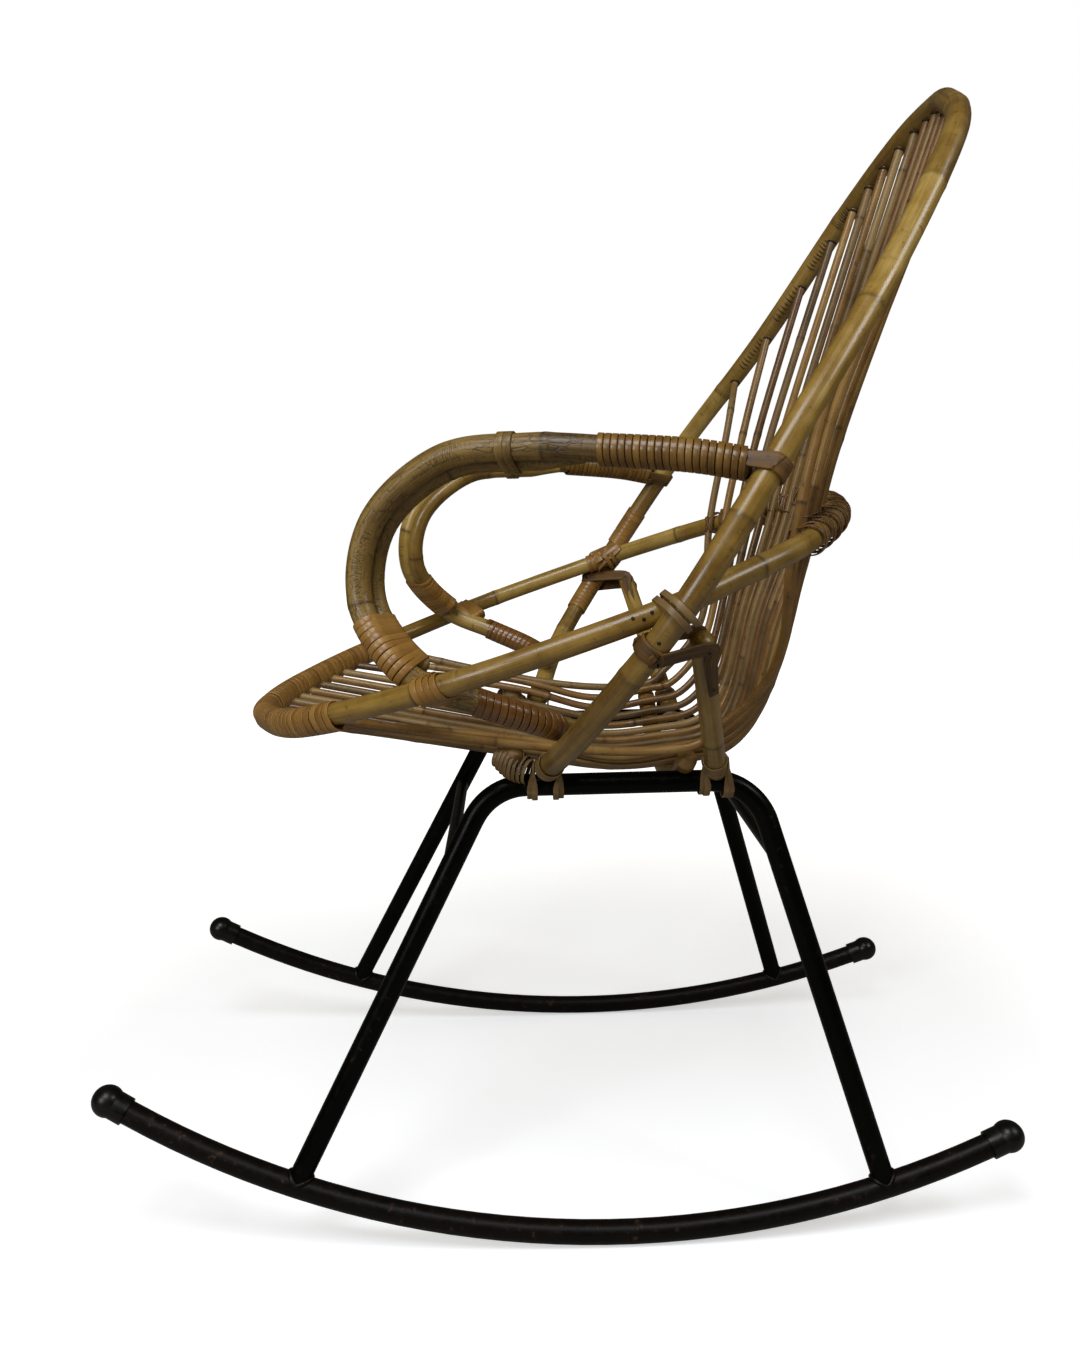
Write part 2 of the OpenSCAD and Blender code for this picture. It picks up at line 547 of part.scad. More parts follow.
// Rear strut, butted on the rail, with a strap over the hoop
strut_axis = unit([0.673, -0.187, 0.716]);
strut_foot = [rail_x, strut_y, rail_z] + towards([0, 1, 0], strut_axis)
    * stand_off(leg_d / 2 + seat_gap, strut_d / 2, strut_axis.y);
strut_top = strut_foot + strut_axis * (0.365 * hoop_x + 80);
strut_loop = crossing(hoop_side, 2, rail_top + 0.225 * hoop_rise);
strut_loop_heading = heading(hoop_side, 2, rail_top + 0.225 * hoop_rise);
module strut(s) color(cane) side_of(s) from_contact() {
    pole([strut_foot, lerp(strut_foot, strut_top, 0.5), strut_top], strut_d, 12);
    f = towards(strut_loop_heading, strut_axis);
    n = cross(f, strut_loop_heading);
    ribbon(concat([[strut_top - strut_axis * 26 + n * (strut_d / 2 - 4), n], [strut_top + n * (strut_d / 2 - 1), n]],
        ring_round(strut_loop, n, f, strap_r(hoop_d / 2), 0, 180, 4),
        [for (k = [0, 30, 60]) [strut_top - strut_axis * k - n * (strut_d / 2 + seat_gap), -n]]),
        [strap_w, strap_w, strap_w, strap_w, strap_w, strap_w, strap_w, strap_w, strap_w, tail_w], strap_t);
}
module strut_left() strut(1);
module strut_right() strut(-1);

// Winding round the seat's front edge, from its middle to each side
edge_pitch = 12.6;
edge_from = 1 + edge_cane_w / 2;
module edge_wrap(s) color(wrap) side_of(s) from_contact()
    winding("edge wrap", ring_side, edge_from, edge_from + edge_turns * edge_pitch, edge_turns,
        ring_d / 2, edge_cane_w, edge_pad / 2, [0, 0.4, -1]);
module edge_wrap_left() edge_wrap(1);
module edge_wrap_right() edge_wrap(-1);

// Winding round the rear of the arm and the strap's tail under it
arm_pitch = arm_cane_w + 1.2;
arm_wrap_from = 4;
arm_tail = cross(arm_joint_heading, arm_dir);
module arm_wrap(s) color(wrap) side_of(s) from_contact()
    winding("arm wrap", arm_path, arm_wrap_from, arm_wrap_from + arm_turns * arm_pitch, arm_turns,
        arm_d / 2, arm_cane_w, (strap_t + 2 * seat_gap) / 2, arm_tail.x > 0 ? -arm_tail : arm_tail);
module arm_wrap_left() arm_wrap(1);
module arm_wrap_right() arm_wrap(-1);

// Windings round the arm and its second pole: where they part, and above the crossing with the ring
pair_half = (arm_d / 2 + ply_d / 2 + seat_gap) / 2;
join_pitch = 8;
join_from = ply_to - 12 - join_turns * join_pitch;
module join_wrap(s) color(wrap) side_of(s) from_contact()
    winding("join wrap", arm_path, join_from, join_from + join_turns * join_pitch, join_turns, arm_d / 2, 3, pair_half, undef);
module join_wrap_left() join_wrap(1);
module join_wrap_right() join_wrap(-1);

BINDING_TURNS = 2;
binding_from = ply_from + 54;
module binding(s) color(wrap) side_of(s) from_contact()
    winding("binding", arm_path, binding_from, binding_from + BINDING_TURNS * arm_pitch, BINDING_TURNS, arm_d / 2, arm_cane_w,
        pair_half, undef);
module binding_left() binding(1);
module binding_right() binding(-1);

// Winding round the arm's lower end
low_pitch = 8;
low_from = 0.84 * arm_len;
module low_wrap(s) color(wrap) side_of(s) from_contact()
    winding("low wrap", arm_path, low_from, low_from + low_turns * low_pitch, low_turns, arm_d / 2, 5);
module low_wrap_left() low_wrap(1);
module low_wrap_right() low_wrap(-1);

// Lashing where the ring passes inside the hoop
CROSS_TURNS = 2;
cross_pitch = 7;
cross_at_hoop = crossing(hoop_side, 1, 33);
cross_at_ring = crossing(ring_side, 1, 33);
cross_axis = unit(heading(hoop_side, 1, 33) + heading(ring_side, 1, 33));
module cross_lashing(s) color(wrap) side_of(s) from_contact() {
    c = cross_at_hoop - cross_axis * CROSS_TURNS * cross_pitch / 2;
    winding("cross lashing", [c, c + cross_axis * 50], 0, CROSS_TURNS * cross_pitch, CROSS_TURNS, 13, 5,
        norm(cross_at_hoop - cross_at_ring) / 2, cross_at_ring - cross_at_hoop);
}
module cross_lashing_left() cross_lashing(1);
module cross_lashing_right() cross_lashing(-1);

// Centre of the rail at y, and its girth there, also where it starts to bend down to a leg
function into_bend(y) = max(0, y - rail_rear + back_b, back_a - rail_front - y);
function along_rail(y) = let (drop = corner_r - sqrt(pow(corner_r, 2) - pow(into_bend(y), 2)))
    [rail_x + drop * sin(splay), y, rail_z - drop * cos(splay)];
function round_rail(y) = clear_of((leg_d / 2 + 4 * seat_gap) / cos(asin(into_bend(y) / corner_r)));

// Lashing that ties the foot of a pole of diameter d to the rail: c is on the rail's axis,
// and the pole's axis passes through q in the direction f
function foot_turn(c, q, f, d, y) = let (
    ra = round_rail(c.y - y), rb = round_rail(c.y + y), rp = clear_of(d / 2 + seat_gap), up = towards(f, [0, 0, 1]), ys = cross(up, f),
    a = along_rail(c.y - y), b = along_rail(c.y + y))
    concat(
        [for (w = [180 : 45 : 360]) let (o = [cos(w), 0, sin(w)]) [a + ra * o, o]],
        [for (w = [-90 : 45 : 90]) let (o = cos(w) * up + sin(w) * ys) [q + rp * o, o]],
        [for (w = [360 : -45 : 180]) let (o = [cos(w), 0, sin(w)]) [b + rb * o, o]],
        [for (k = [-1, 1]) let (o = [cos(150), 0, sin(150)]) [c + ra * o - [0, k * y / 3, 0], o]]);
module foot_lashing(c, q, f, d) {
    turn = foot_turn(c, q, f, d, d / 2 + lash_w / 2 + seat_gap);
    ribbon(turn, [for (p = turn) lash_w], cane_t);
}
hoop_foot_dir = unit(hoop_path[1] - hoop_path[0]);
module front_lashing(s) color(wrap) side_of(s) from_contact()
    foot_lashing([rail_x, hoop_path[0].y, rail_z], hoop_path[0] + hoop_foot_dir * 4, hoop_foot_dir, hoop_d);
module front_lashing_left() front_lashing(1);
module front_lashing_right() front_lashing(-1);
module rear_lashing(s) color(wrap) side_of(s) from_contact()
    foot_lashing([rail_x, strut_foot.y, rail_z], strut_foot + strut_axis * 16, strut_axis, strut_d);
module rear_lashing_left() rear_lashing(1);
module rear_lashing_right() rear_lashing(-1);

// Coil of narrow cane on the end of the front crossbar
COIL_TURNS = 4;
coil_pitch = 4;
coil_path = [for (x = [bar_len / 2 - COIL_TURNS * coil_pitch - 4 : 4 : bar_len / 2]) [x, -bar_front, bar_z(x, sag_front, front_seat)]];
module bar_coil(s) color(wrap) side_of(s) from_contact()
    winding("bar coil", coil_path, 2, 2 + COIL_TURNS * coil_pitch, COIL_TURNS, bar_d / 2, 3);
module bar_coil_left() bar_coil(1);
module bar_coil_right() bar_coil(-1);

rocker_left();
rocker_right();
leg_hoop_left();
leg_hoop_right();
cap_front_left();
cap_front_right();
cap_rear_left();
cap_rear_right();
front_stretcher();
rear_stretcher();
back_hoop();
seat_ring();
arm_left();
arm_right();
arm_ply_left();
arm_ply_right();
strut_left();
strut_right();
front_crossbar();
rear_crossbar();
rod_1();
rod_2();
rod_3();
rod_4();
rod_5();
rod_6();
rod_7();
rod_8();
rod_9();
rod_10();
rod_11();
rod_12();
rod_13();
rod_14();
rod_15();
rod_16();
rod_17();
rod_18();
rod_19();
edge_wrap_left();
edge_wrap_right();
arm_wrap_left();
arm_wrap_right();
join_wrap_left();
join_wrap_right();
low_wrap_left();
low_wrap_right();
binding_left();
binding_right();
cross_lashing_left();
cross_lashing_right();
front_lashing_left();
front_lashing_right();
rear_lashing_left();
rear_lashing_right();
bar_coil_left();
bar_coil_right();
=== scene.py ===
import math
import random

import bpy
import numpy as np
from mathutils import Matrix, Vector


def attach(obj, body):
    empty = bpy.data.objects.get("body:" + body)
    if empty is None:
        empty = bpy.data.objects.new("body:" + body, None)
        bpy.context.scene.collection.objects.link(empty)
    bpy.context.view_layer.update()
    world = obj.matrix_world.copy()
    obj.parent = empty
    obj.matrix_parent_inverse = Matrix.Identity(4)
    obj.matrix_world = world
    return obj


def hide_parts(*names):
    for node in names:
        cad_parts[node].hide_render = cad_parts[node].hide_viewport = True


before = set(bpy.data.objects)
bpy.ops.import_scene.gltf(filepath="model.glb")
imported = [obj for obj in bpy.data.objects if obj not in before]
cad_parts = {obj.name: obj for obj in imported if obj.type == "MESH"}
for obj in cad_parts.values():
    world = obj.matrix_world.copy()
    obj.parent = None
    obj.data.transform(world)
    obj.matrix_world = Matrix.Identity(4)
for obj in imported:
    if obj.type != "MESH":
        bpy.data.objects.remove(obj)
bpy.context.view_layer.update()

# Sizes are in millimetres, with Y measured from where the rockers touch the floor.
mm = 0.001
floorContact = 52.0
sides = (("left", 1), ("right", -1))


def v3(x, y, z):
    return np.array([x, y, z], float)


def unit(v):
    return v / np.linalg.norm(v)


def lerp(a, b, t):
    return a + (b - a) * t


def place(points):
    moved = np.array(points, float)
    moved[:, 1] += floorContact
    return moved * mm


# Camera, at the angle of the photograph
camera = {"x": 1054.0, "y": -29.7, "z": 637.3, "yaw": -0.02197, "pitch": 0.16876, "roll": -0.02029,
          "focal": 1100.0, "frameHeight": 1350.0, "sensor": 36.0, "clip": (0.05, 30)}


def makeCamera(c):
    cy, sy, cp, sp = math.cos(c["yaw"]), math.sin(c["yaw"]), math.cos(c["pitch"]), math.sin(c["pitch"])
    forward = Vector((-cy * cp, -sy * cp, -sp))
    right = Vector((-sy, cy, 0))
    up = right.cross(forward)
    cr, sr = math.cos(c["roll"]), math.sin(c["roll"])
    right, up = cr * right + sr * up, -sr * right + cr * up
    data = bpy.data.cameras.new("studioCamera")
    data.sensor_width = c["sensor"]
    data.lens = c["sensor"] * c["focal"] / c["frameHeight"]
    data.clip_start, data.clip_end = c["clip"]
    cam = bpy.data.objects.new("studioCamera", data)
    turn = Matrix((right, up, -forward)).transposed().to_4x4()
    cam.matrix_world = Matrix.Translation((c["x"] * mm, c["y"] * mm, c["z"] * mm)) @ turn
    bpy.context.scene.collection.objects.link(cam)
    bpy.context.scene.camera = cam


makeCamera(camera)
print("camera is in place")


# Curves
def span(a, b, c, d, t):
    return (2 * b + (c - a) * t + (2 * a - 5 * b + 4 * c - d) * t * t + (3 * b - a - 3 * c + d) * t ** 3) / 2


def curveThrough(points, steps):
    p = [np.array(q, float) for q in points]
    q = [2 * p[0] - p[1]] + p + [2 * p[-1] - p[-2]]
    return np.array([span(*q[i:i + 4], k / steps) for i in range(len(p) - 1) for k in range(steps)] + [p[-1]])


def loopThrough(points, steps):
    p = [np.array(q, float) for q in points]
    m = len(p)
    return np.array([span(p[i - 1], p[i], p[(i + 1) % m], p[(i + 2) % m], k / steps)
                     for i in range(m) for k in range(steps)])


def lengthsOf(path):
    return np.r_[0, np.cumsum(np.linalg.norm(np.diff(path, axis=0), axis=1))]


def resampled(path, step, closed=False):
    path = np.array(path, float)
    if closed:
        path = np.vstack([path, path[:1]])
    s = lengthsOf(path)
    n = max(2, int(round(s[-1] / step)))
    at = np.linspace(0, s[-1], n + 1)[:n if closed else n + 1]
    return np.array([np.interp(at, s, path[:, k]) for k in range(3)]).T


def pointAt(path, s, d):
    if d < 0:
        return path[0] + (path[0] - path[1]) / (s[1] - s[0]) * -d
    if d > s[-1]:
        return path[-1] + (path[-1] - path[-2]) / (s[-1] - s[-2]) * (d - s[-1])
    return np.array([np.interp(d, s, path[:, k]) for k in range(3)])


def directionAt(path, s, d, reach=4.0):
    return unit(pointAt(path, s, d + reach) - pointAt(path, s, d - reach))


def crossing(path, axis, value):
    # where the path reaches a value of x, y or z: the point, the direction and the place in the list
    for i in range(len(path) - 1):
        if (path[i][axis] - value) * (path[i + 1][axis] - value) <= 0:
            break
    t = (value - path[i][axis]) / (path[i + 1][axis] - path[i][axis])
    return lerp(path[i], path[i + 1], t), unit(path[i + 1] - path[i]), i + t


def towards(f, v):
    # the part of v that is square to f
    return unit(v - (v @ f) * f)


def circle(u, v, angles):
    return [math.cos(w) * u + math.sin(w) * v for w in angles]


def fullTurn(n):
    return np.linspace(0, 2 * math.pi, n + 1)[:-1]


def mirrored(points):
    return np.array(points, float) * [-1, 1, 1]


def asIs(points):
    return points


# The frame's own measures
gap = 0.3
caneT = 1.2
curveSteps = 16

base = {"tube": 20, "rockerRadius": 830, "halfWidth": 210, "splay": 11.4, "footFront": 279, "footRear": 225,
        "railFront": 107, "railRear": 122, "railHeight": 392, "corner": 52}
splay = math.radians(base["splay"])
legReach = base["railHeight"] - base["tube"] / 2
railX = base["halfWidth"] - legReach * math.sin(splay)
railZ = base["tube"] / 2 + legReach * math.cos(splay)
legD = base["tube"] - 1
railTop = railZ + legD / 2

hoop = {"d": 20, "width": 598, "top": 966, "reach": 305,
        "nearKnotsZ": (507, 617, 770, 866, 935), "farKnotsZ": (470, 645, 745, 905)}
ring = {"d": 18, "width": 562, "front": 320, "frontZ": 436, "rise": 182, "knots": (330, 610, 905, 1160, 1400)}
rods = {"d": 8, "seatWidth": 306, "edgeWidth": 396, "topWidth": 470, "pairs": 9, "bow": 9.9, "bowPower": 2.5,
        "rearY": 187.5, "rearZ": 592, "lean": 0.28, "cup": 18, "dip": 19, "holeDepth": 7}
bars = {"d": 18, "length": 296, "front": 87, "rear": 62, "sagFront": 32, "sagRear": 36, "rearSeat": 15.5,
        "coilReach": 30, "knots": (70, 215)}
arms = {"d": 20, "ply": 16, "top": 667, "width": 406, "plyFrom": 0.2, "plyTo": 0.765,
        "knots": {"left": (150, 372, 560, 700), "right": (120, 330, 520, 690)},
        "plyKnots": {"left": (110, 260), "right": (90, 230)}}
struts = {"d": 18, "y": 88, "strapW": 13, "strapT": 2.5, "axis": (0.673, -0.187, 0.716), "past": 80,
          "knots": {"left": (52,), "right": (88,)}}

# hoop, from the seat rail to the top and mirrored down again
hoopX, hoopRise = hoop["width"] / 2, hoop["top"] - railTop
hoopHalf = [[railX + 18, -59, railTop + 8], [hoopX - 53, -29, railTop + 0.113 * hoopRise],
            [hoopX, 36, railTop + 0.279 * hoopRise], [hoopX - 21, 117, railTop + 0.492 * hoopRise],
            [hoopX * 0.723, hoop["reach"] * 0.655, railTop + 0.695 * hoopRise],
            [hoopX * 0.505, hoop["reach"] * 0.88, railTop + 0.89 * hoopRise],
            [hoopX * 0.215, hoop["reach"] * 0.968, railTop + 0.976 * hoopRise],
            [0, hoop["reach"], hoop["top"]]]
hoopPath = curveThrough(hoopHalf + mirrored(hoopHalf[-2::-1]).tolist(), curveSteps)
hoopSide = hoopPath[:curveSteps * (len(hoopHalf) - 1) + 1]
hoopUpper = np.array([p for p in hoopSide if p[2] > railTop + 0.4 * hoopRise])[::-1]


def bowed(y, x, bow=rods["bow"]):
    return y - bow * (abs(x) / 100) ** rods["bowPower"]


# seat ring, from the middle of its front to the middle of its rear and mirrored back
ringX = ring["width"] / 2
ringBack = ((ring["d"] + rods["d"]) / 2 + 4 * gap) * math.sqrt(1 + rods["lean"] ** 2)


def ringZ(k):
    return ring["frontZ"] + k * ring["rise"]


def ringRear(x, z):
    slope = rods["bowPower"] * rods["bow"] / 100 * (x / 100) ** (rods["bowPower"] - 1)
    behind = bowed(rods["rearY"] + rods["lean"] * (z - rods["rearZ"]), x)
    return behind + ringBack * math.sqrt(1 + slope ** 2)


ringHalf = [[0, -ring["front"], ringZ(0)], [0.3 * ringX, 15 - ring["front"], ringZ(0.03)],
            [0.68 * ringX, 71 - ring["front"], ringZ(0.126)], [0.968 * ringX, -122, ringZ(0.357)],
            [ringX - 2, 20, ringZ(0.615)], [0.904 * ringX, 80, ringZ(0.731)],
            [0.73 * ringX, ringRear(0.73 * ringX, ringZ(0.852)) - 1.6, ringZ(0.852)],
            [0.36 * ringX, ringRear(0.36 * ringX, ringZ(0.951)), ringZ(0.951)],
            [0, ringRear(0, ringZ(1)), ringZ(1)]]
ringPath = loopThrough(ringHalf + mirrored(ringHalf[-2:0:-1]).tolist(), curveSteps)
ringSide = ringPath[:curveSteps * (len(ringHalf) - 1) + 1]


# crossbars, as arcs that sag between the seat rails
def barArc(sag):
    return (railX ** 2 + sag ** 2) / (2 * sag)


def barFlat(x, sag):
    return math.sqrt(1 - (x / barArc(sag)) ** 2)


coilT = (bars["d"] / 2 + gap) / math.cos(math.pi / 8) + caneT - bars["d"] / 2
frontSeat = (legD / 2 + bars["d"] / 2 + coilT + gap) / barFlat(railX, bars["sagFront"])


def barZ(x, sag, seat):
    return railZ + seat - sag + barArc(sag) * (1 - barFlat(x, sag))


def onBar(x, sag, seat, coil):
    k = min(x, bars["length"] / 2 - rods["d"])
    lift = (bars["d"] + rods["d"]) / 2 + gap + (coil if k > bars["length"] / 2 - bars["coilReach"] else 0)
    return barZ(k, sag, seat) + lift / barFlat(k, sag) + gap


def standOff(q, r, c):
    # how far a pole's end of radius r stays from an axis with radius q, for the cosine c between them
    return (q + r * abs(c)) / math.sqrt(1 - c * c)


edgeR = (ring["d"] / 2 + gap) / math.cos(math.pi / 8) + caneT
edgePad = rods["d"] / 2
# where each rod bends: share of the way from seat width to top width, y, z, rise and bow
rodBends = ((0.02, 113.5, 388, 19, 10.2), (0.18, 139.5, 425, 15, 6.1), (0.32, 159, 510, 0, 5.7),
            (0.43, rods["rearY"], rods["rearZ"], 0, rods["bow"]), (0.52, 216, 694, 0, 10.5))


def rodPath(u):
    a = abs(u)
    halfSeat, halfEdge, halfTop = rods["seatWidth"] / 2, rods["edgeWidth"] / 2, rods["topWidth"] / 2
    edge, along, _ = crossing(ringSide, 0, max(halfEdge * a, 0.01))
    barX, seatX = lerp(halfSeat, halfEdge, 0.27) * a, halfSeat * a
    bar = v3(barX, -bars["front"], onBar(barX, bars["sagFront"], frontSeat, coilT))
    d = unit(bar - edge)
    points = [edge + d * standOff(edgeR + edgePad + gap, rods["d"] / 2, d @ along), bar,
              v3(seatX, 0, railTop - rods["dip"] + rods["cup"] * (seatX / 100) ** 2),
              v3(seatX, bars["rear"], onBar(seatX, bars["sagRear"], bars["rearSeat"], 0))]
    for k, y, z, rise, bow in rodBends:
        x = lerp(halfSeat, halfTop, k) * a
        points.append(v3(x, bowed(y, x, bow), z + rise * (x / 100) ** 2))
    hole, heading, _ = crossing(hoopUpper, 0, max(halfTop * a, 0.01))
    d = unit(hole - points[-1])
    end = hole - d * ((hoop["d"] / 2 - rods["holeDepth"]) / math.sqrt(1 - (d @ heading) ** 2))
    path = curveThrough(points + [end], 10)
    return mirrored(path) if u < 0 else path


# arm, from the hoop round its front loop down to the rail, with a ply along its inner side
armX = arms["width"] / 2
armJoint, armJointHeading, _ = crossing(hoopSide, 2, arms["top"] - 19)
armHalf = [[armX + 69, 45, arms["top"] - 9], [armX + 52, -9, arms["top"] - 4], [armX + 33, -71, arms["top"]],
           [armX + 14, -135, arms["top"] - 7], [armX - 2, -189, arms["top"] - 52],
           [armX + 3, -200, arms["top"] - 116], [armX + 29, -163, arms["top"] - 168],
           [armX + 19, -108, arms["top"] - 193], [armX + 4, -68, arms["top"] - 210],
           [railX + 44, -40, railTop + 48]]
armDir = unit(armJoint - np.array(armHalf[0]))
armStart = armJoint - armDir * standOff(hoop["d"] / 2 + gap, arms["d"] / 2, armDir @ armJointHeading)
armPath = curveThrough([armStart] + armHalf, curveSteps)
armS = lengthsOf(armPath)
armLen = armS[-1]
armHeart = v3(armX + 30, -110, arms["top"] - 85)


def plySide(c, f):
    return towards(f, 0.86 * towards(f, v3(-1, 0, 0)) + 0.51 * towards(f, armHeart - c))


plyFrom, plyTo = arms["plyFrom"] * armLen, arms["plyTo"] * armLen

# strut, from the rail up and out past the hoop
strutAxis = unit(v3(*struts["axis"]))
strutFoot = v3(railX, struts["y"], railZ) + towards(v3(0, 1, 0), strutAxis) * \
    standOff(legD / 2 + gap, struts["d"] / 2, strutAxis[1])
strutTop = strutFoot + strutAxis * (0.365 * hoopX + struts["past"])
strutLine = [strutFoot, lerp(strutFoot, strutTop, 0.5), strutTop]
strutLoop, strutHeading, _ = crossing(hoopSide, 2, railTop + 0.225 * hoopRise)


# Trees that sweep a section along a path
def socket(node, name):
    return next(s for s in node.inputs if s.name == name and s.enabled)


def result(node, name="Attribute"):
    return next(s for s in node.outputs if s.name == name and s.enabled)


def newTree(name, extras):
    tree = bpy.data.node_groups.new(name, "GeometryNodeTree")
    tree.interface.new_socket("Geometry", in_out="INPUT", socket_type="NodeSocketGeometry")
    for label, kind, value in extras:
        item = tree.interface.new_socket(label, in_out="INPUT", socket_type=kind)
        if value is not None:
            item.default_value = value
    tree.interface.new_socket("Geometry", in_out="OUTPUT", socket_type="NodeSocketGeometry")
    return tree


def adder(tree):
    def add(kind, links=None, **settings):
        node = tree.nodes.new(kind)
        for key, value in settings.items():
            setattr(node, key, value)
        for name, value in (links or {}).items():
            into = socket(node, name)
            if isinstance(value, bpy.types.NodeSocket):
                tree.links.new(value, into)
            else:
                into.default_value = value
        return node
    return add


def readAttribute(add, name, kind):
    return result(add("GeometryNodeInputNamedAttribute", {"Name": name}, data_type=kind))


def storeAttribute(add, geometry, name, value, kind):
    return add("GeometryNodeStoreNamedAttribute", {"Geometry": geometry, "Name": name, "Value": value},
               data_type=kind, domain="POINT").outputs["Geometry"]


def flatSection(add, given):
    # a flat cane's section, with rounded corners
    size = {"Width": given["Thickness"], "Height": given["Width"]}
    box = add("GeometryNodeCurvePrimitiveQuadrilateral", size)
    edge = add("ShaderNodeMath", {"Value": given["Thickness"]}, operation="MULTIPLY")
    edge.inputs[1].default_value = 0.42
    return add("GeometryNodeFilletCurve", {"Curve": box.outputs["Curve"], "Count": 3,
                                           "Radius": edge.outputs["Value"]}, mode="POLY").outputs["Curve"]


def sweepTree(name, flat):
    extras = [("Material", "NodeSocketMaterial", None)]
    if flat:
        extras += [("Width", "NodeSocketFloat", 0.006), ("Thickness", "NodeSocketFloat", caneT * mm)]
    else:
        extras += [("Sides", "NodeSocketInt", 24)]
    tree = newTree(name, extras)
    add = adder(tree)
    given = add("NodeGroupInput").outputs
    line = add("GeometryNodeMeshToCurve", {"Mesh": given["Geometry"]}).outputs["Curve"]
    girth = readAttribute(add, "girth", "FLOAT")
    along = add("GeometryNodeSplineParameter").outputs["Length"]
    line = storeAttribute(add, line, "along", along, "FLOAT")
    if flat:
        facing = readAttribute(add, "facing", "FLOAT_VECTOR")
        turned = add("GeometryNodeSetCurveNormal", {"Curve": line, "Normal": facing}, mode="FREE")
        line = turned.outputs["Curve"]
        section = flatSection(add, given)
    else:
        section = add("GeometryNodeCurvePrimitiveCircle",
                      {"Resolution": given["Sides"], "Radius": 1.0}).outputs["Curve"]
    where = add("GeometryNodeInputPosition").outputs["Position"]
    section = storeAttribute(add, section, "round", where, "FLOAT_VECTOR")
    swept = add("GeometryNodeCurveToMesh", {"Curve": line, "Profile Curve": section, "Scale": girth,
                                            "Fill Caps": True}).outputs["Mesh"]
    # grain runs along the cane, with its other two directions across the section
    roundOf = readAttribute(add, "round", "FLOAT_VECTOR")
    scaled = add("ShaderNodeVectorMath", {"Vector": roundOf, "Scale": girth}, operation="SCALE")
    split = add("ShaderNodeSeparateXYZ", {"Vector": scaled.outputs["Vector"]}).outputs
    alongOf = readAttribute(add, "along", "FLOAT")
    grain = add("ShaderNodeCombineXYZ", {"X": split["X"], "Y": split["Y"], "Z": alongOf}).outputs["Vector"]
    swept = storeAttribute(add, swept, "grain", grain, "FLOAT_VECTOR")
    for kind, extra in (("SetShadeSmooth", {}), ("RealizeInstances", {}),
                        ("SetMaterial", {"Material": given["Material"]})):
        swept = add("GeometryNode" + kind, {"Geometry": swept, **extra}).outputs["Geometry"]
    out = tree.nodes.new("NodeGroupOutput")
    tree.links.new(swept, out.inputs["Geometry"])
    return tree


poleTree = sweepTree("roundPole", False)
stripTree = sweepTree("flatCane", True)


def pathMesh(name, strands):
    mesh = bpy.data.meshes.new(name)
    points = [p for s in strands for p in place(s["path"])]
    edges, at = [], 0
    for s in strands:
        n = len(s["path"])
        edges += [(at + i, at + i + 1) for i in range(n - 1)]
        edges += [(at + n - 1, at)] if s.get("closed") else []
        at += n
    mesh.from_pydata(points, edges, [])
    for key, fill in (("girth", 1.0), ("tone", 0.5), ("knot", 0.0)):
        column = [np.asarray(s[key] if key in s else [fill] * len(s["path"]), float) for s in strands]
        mesh.attributes.new(key, "FLOAT", "POINT").data.foreach_set("value", np.concatenate(column))
    if "facing" in strands[0]:
        facing = np.concatenate([np.asarray(s["facing"], float) for s in strands])
        mesh.attributes.new("facing", "FLOAT_VECTOR", "POINT").data.foreach_set("vector", facing.ravel())
    return mesh


def swept(name, strands, tree, values, slotName, replaced=()):
    maker = bpy.data.objects.new(name + "Path", pathMesh(name + "Path", strands))
    bpy.context.scene.collection.objects.link(maker)
    modifier = maker.modifiers.new("sweep", "NODES")
    modifier.node_group = tree
    for item in tree.interface.items_tree:
        if item.in_out == "INPUT" and item.name in values:
            modifier[item.identifier] = values[item.name]
    dg = bpy.context.evaluated_depsgraph_get()
    made = bpy.data.meshes.new_from_object(maker.evaluated_get(dg), depsgraph=dg)
    bpy.data.objects.remove(maker)
    made.name = name
    piece = bpy.data.objects.new(name, made)
    bpy.context.scene.collection.objects.link(piece)
    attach(piece, "root")
    if replaced:
        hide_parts(*replaced)


# Materials
def linear(c):
    return ((c / 255 + 0.055) / 1.055) ** 2.4 if c > 10 else c / 255 / 12.92


def tint(*levels):
    return tuple(linear(c) for c in levels) + (1.0,)


def shaded(colour, share):
    return tuple(c * share for c in colour[:3]) + (1.0,)


def newMaterial(name, roughness, coat=0.0, coatRoughness=0.2, specular=0.5):
    material = bpy.data.materials.new(name)
    material.use_nodes = True
    tree = material.node_tree
    shader = tree.nodes["Principled BSDF"]
    shader.inputs["Roughness"].default_value = roughness
    shader.inputs["Coat Weight"].default_value = coat
    shader.inputs["Coat Roughness"].default_value = coatRoughness
    shader.inputs["Specular IOR Level"].default_value = specular
    return material, tree, shader, adder(tree)


def ramp(add, value, stops):
    node = add("ShaderNodeValToRGB", {"Fac": value})
    while len(node.color_ramp.elements) < len(stops):
        node.color_ramp.elements.new(0.5)
    for element, (at, colour) in zip(node.color_ramp.elements, stops):
        element.position, element.color = at, colour
    return node.outputs["Color"]


def mixColour(add, amount, a, b):
    node = add("ShaderNodeMix", {"Factor": amount}, data_type="RGBA", blend_type="MIX")
    for key, value in (("A", a), ("B", b)):
        into = socket(node, key)
        if isinstance(value, bpy.types.NodeSocket):
            node.id_data.links.new(value, into)
        else:
            into.default_value = value
    return next(s for s in node.outputs if s.enabled)


def math2(add, operation, a, b):
    node = add("ShaderNodeMath", operation=operation)
    for into, value in zip(node.inputs, (a, b)):
        if isinstance(value, bpy.types.NodeSocket):
            node.id_data.links.new(value, into)
        else:
            into.default_value = value
    return node.outputs["Value"]


def times(add, a, b):
    return math2(add, "MULTIPLY", a, b)


def plus(add, a, b):
    return math2(add, "ADD", a, b)


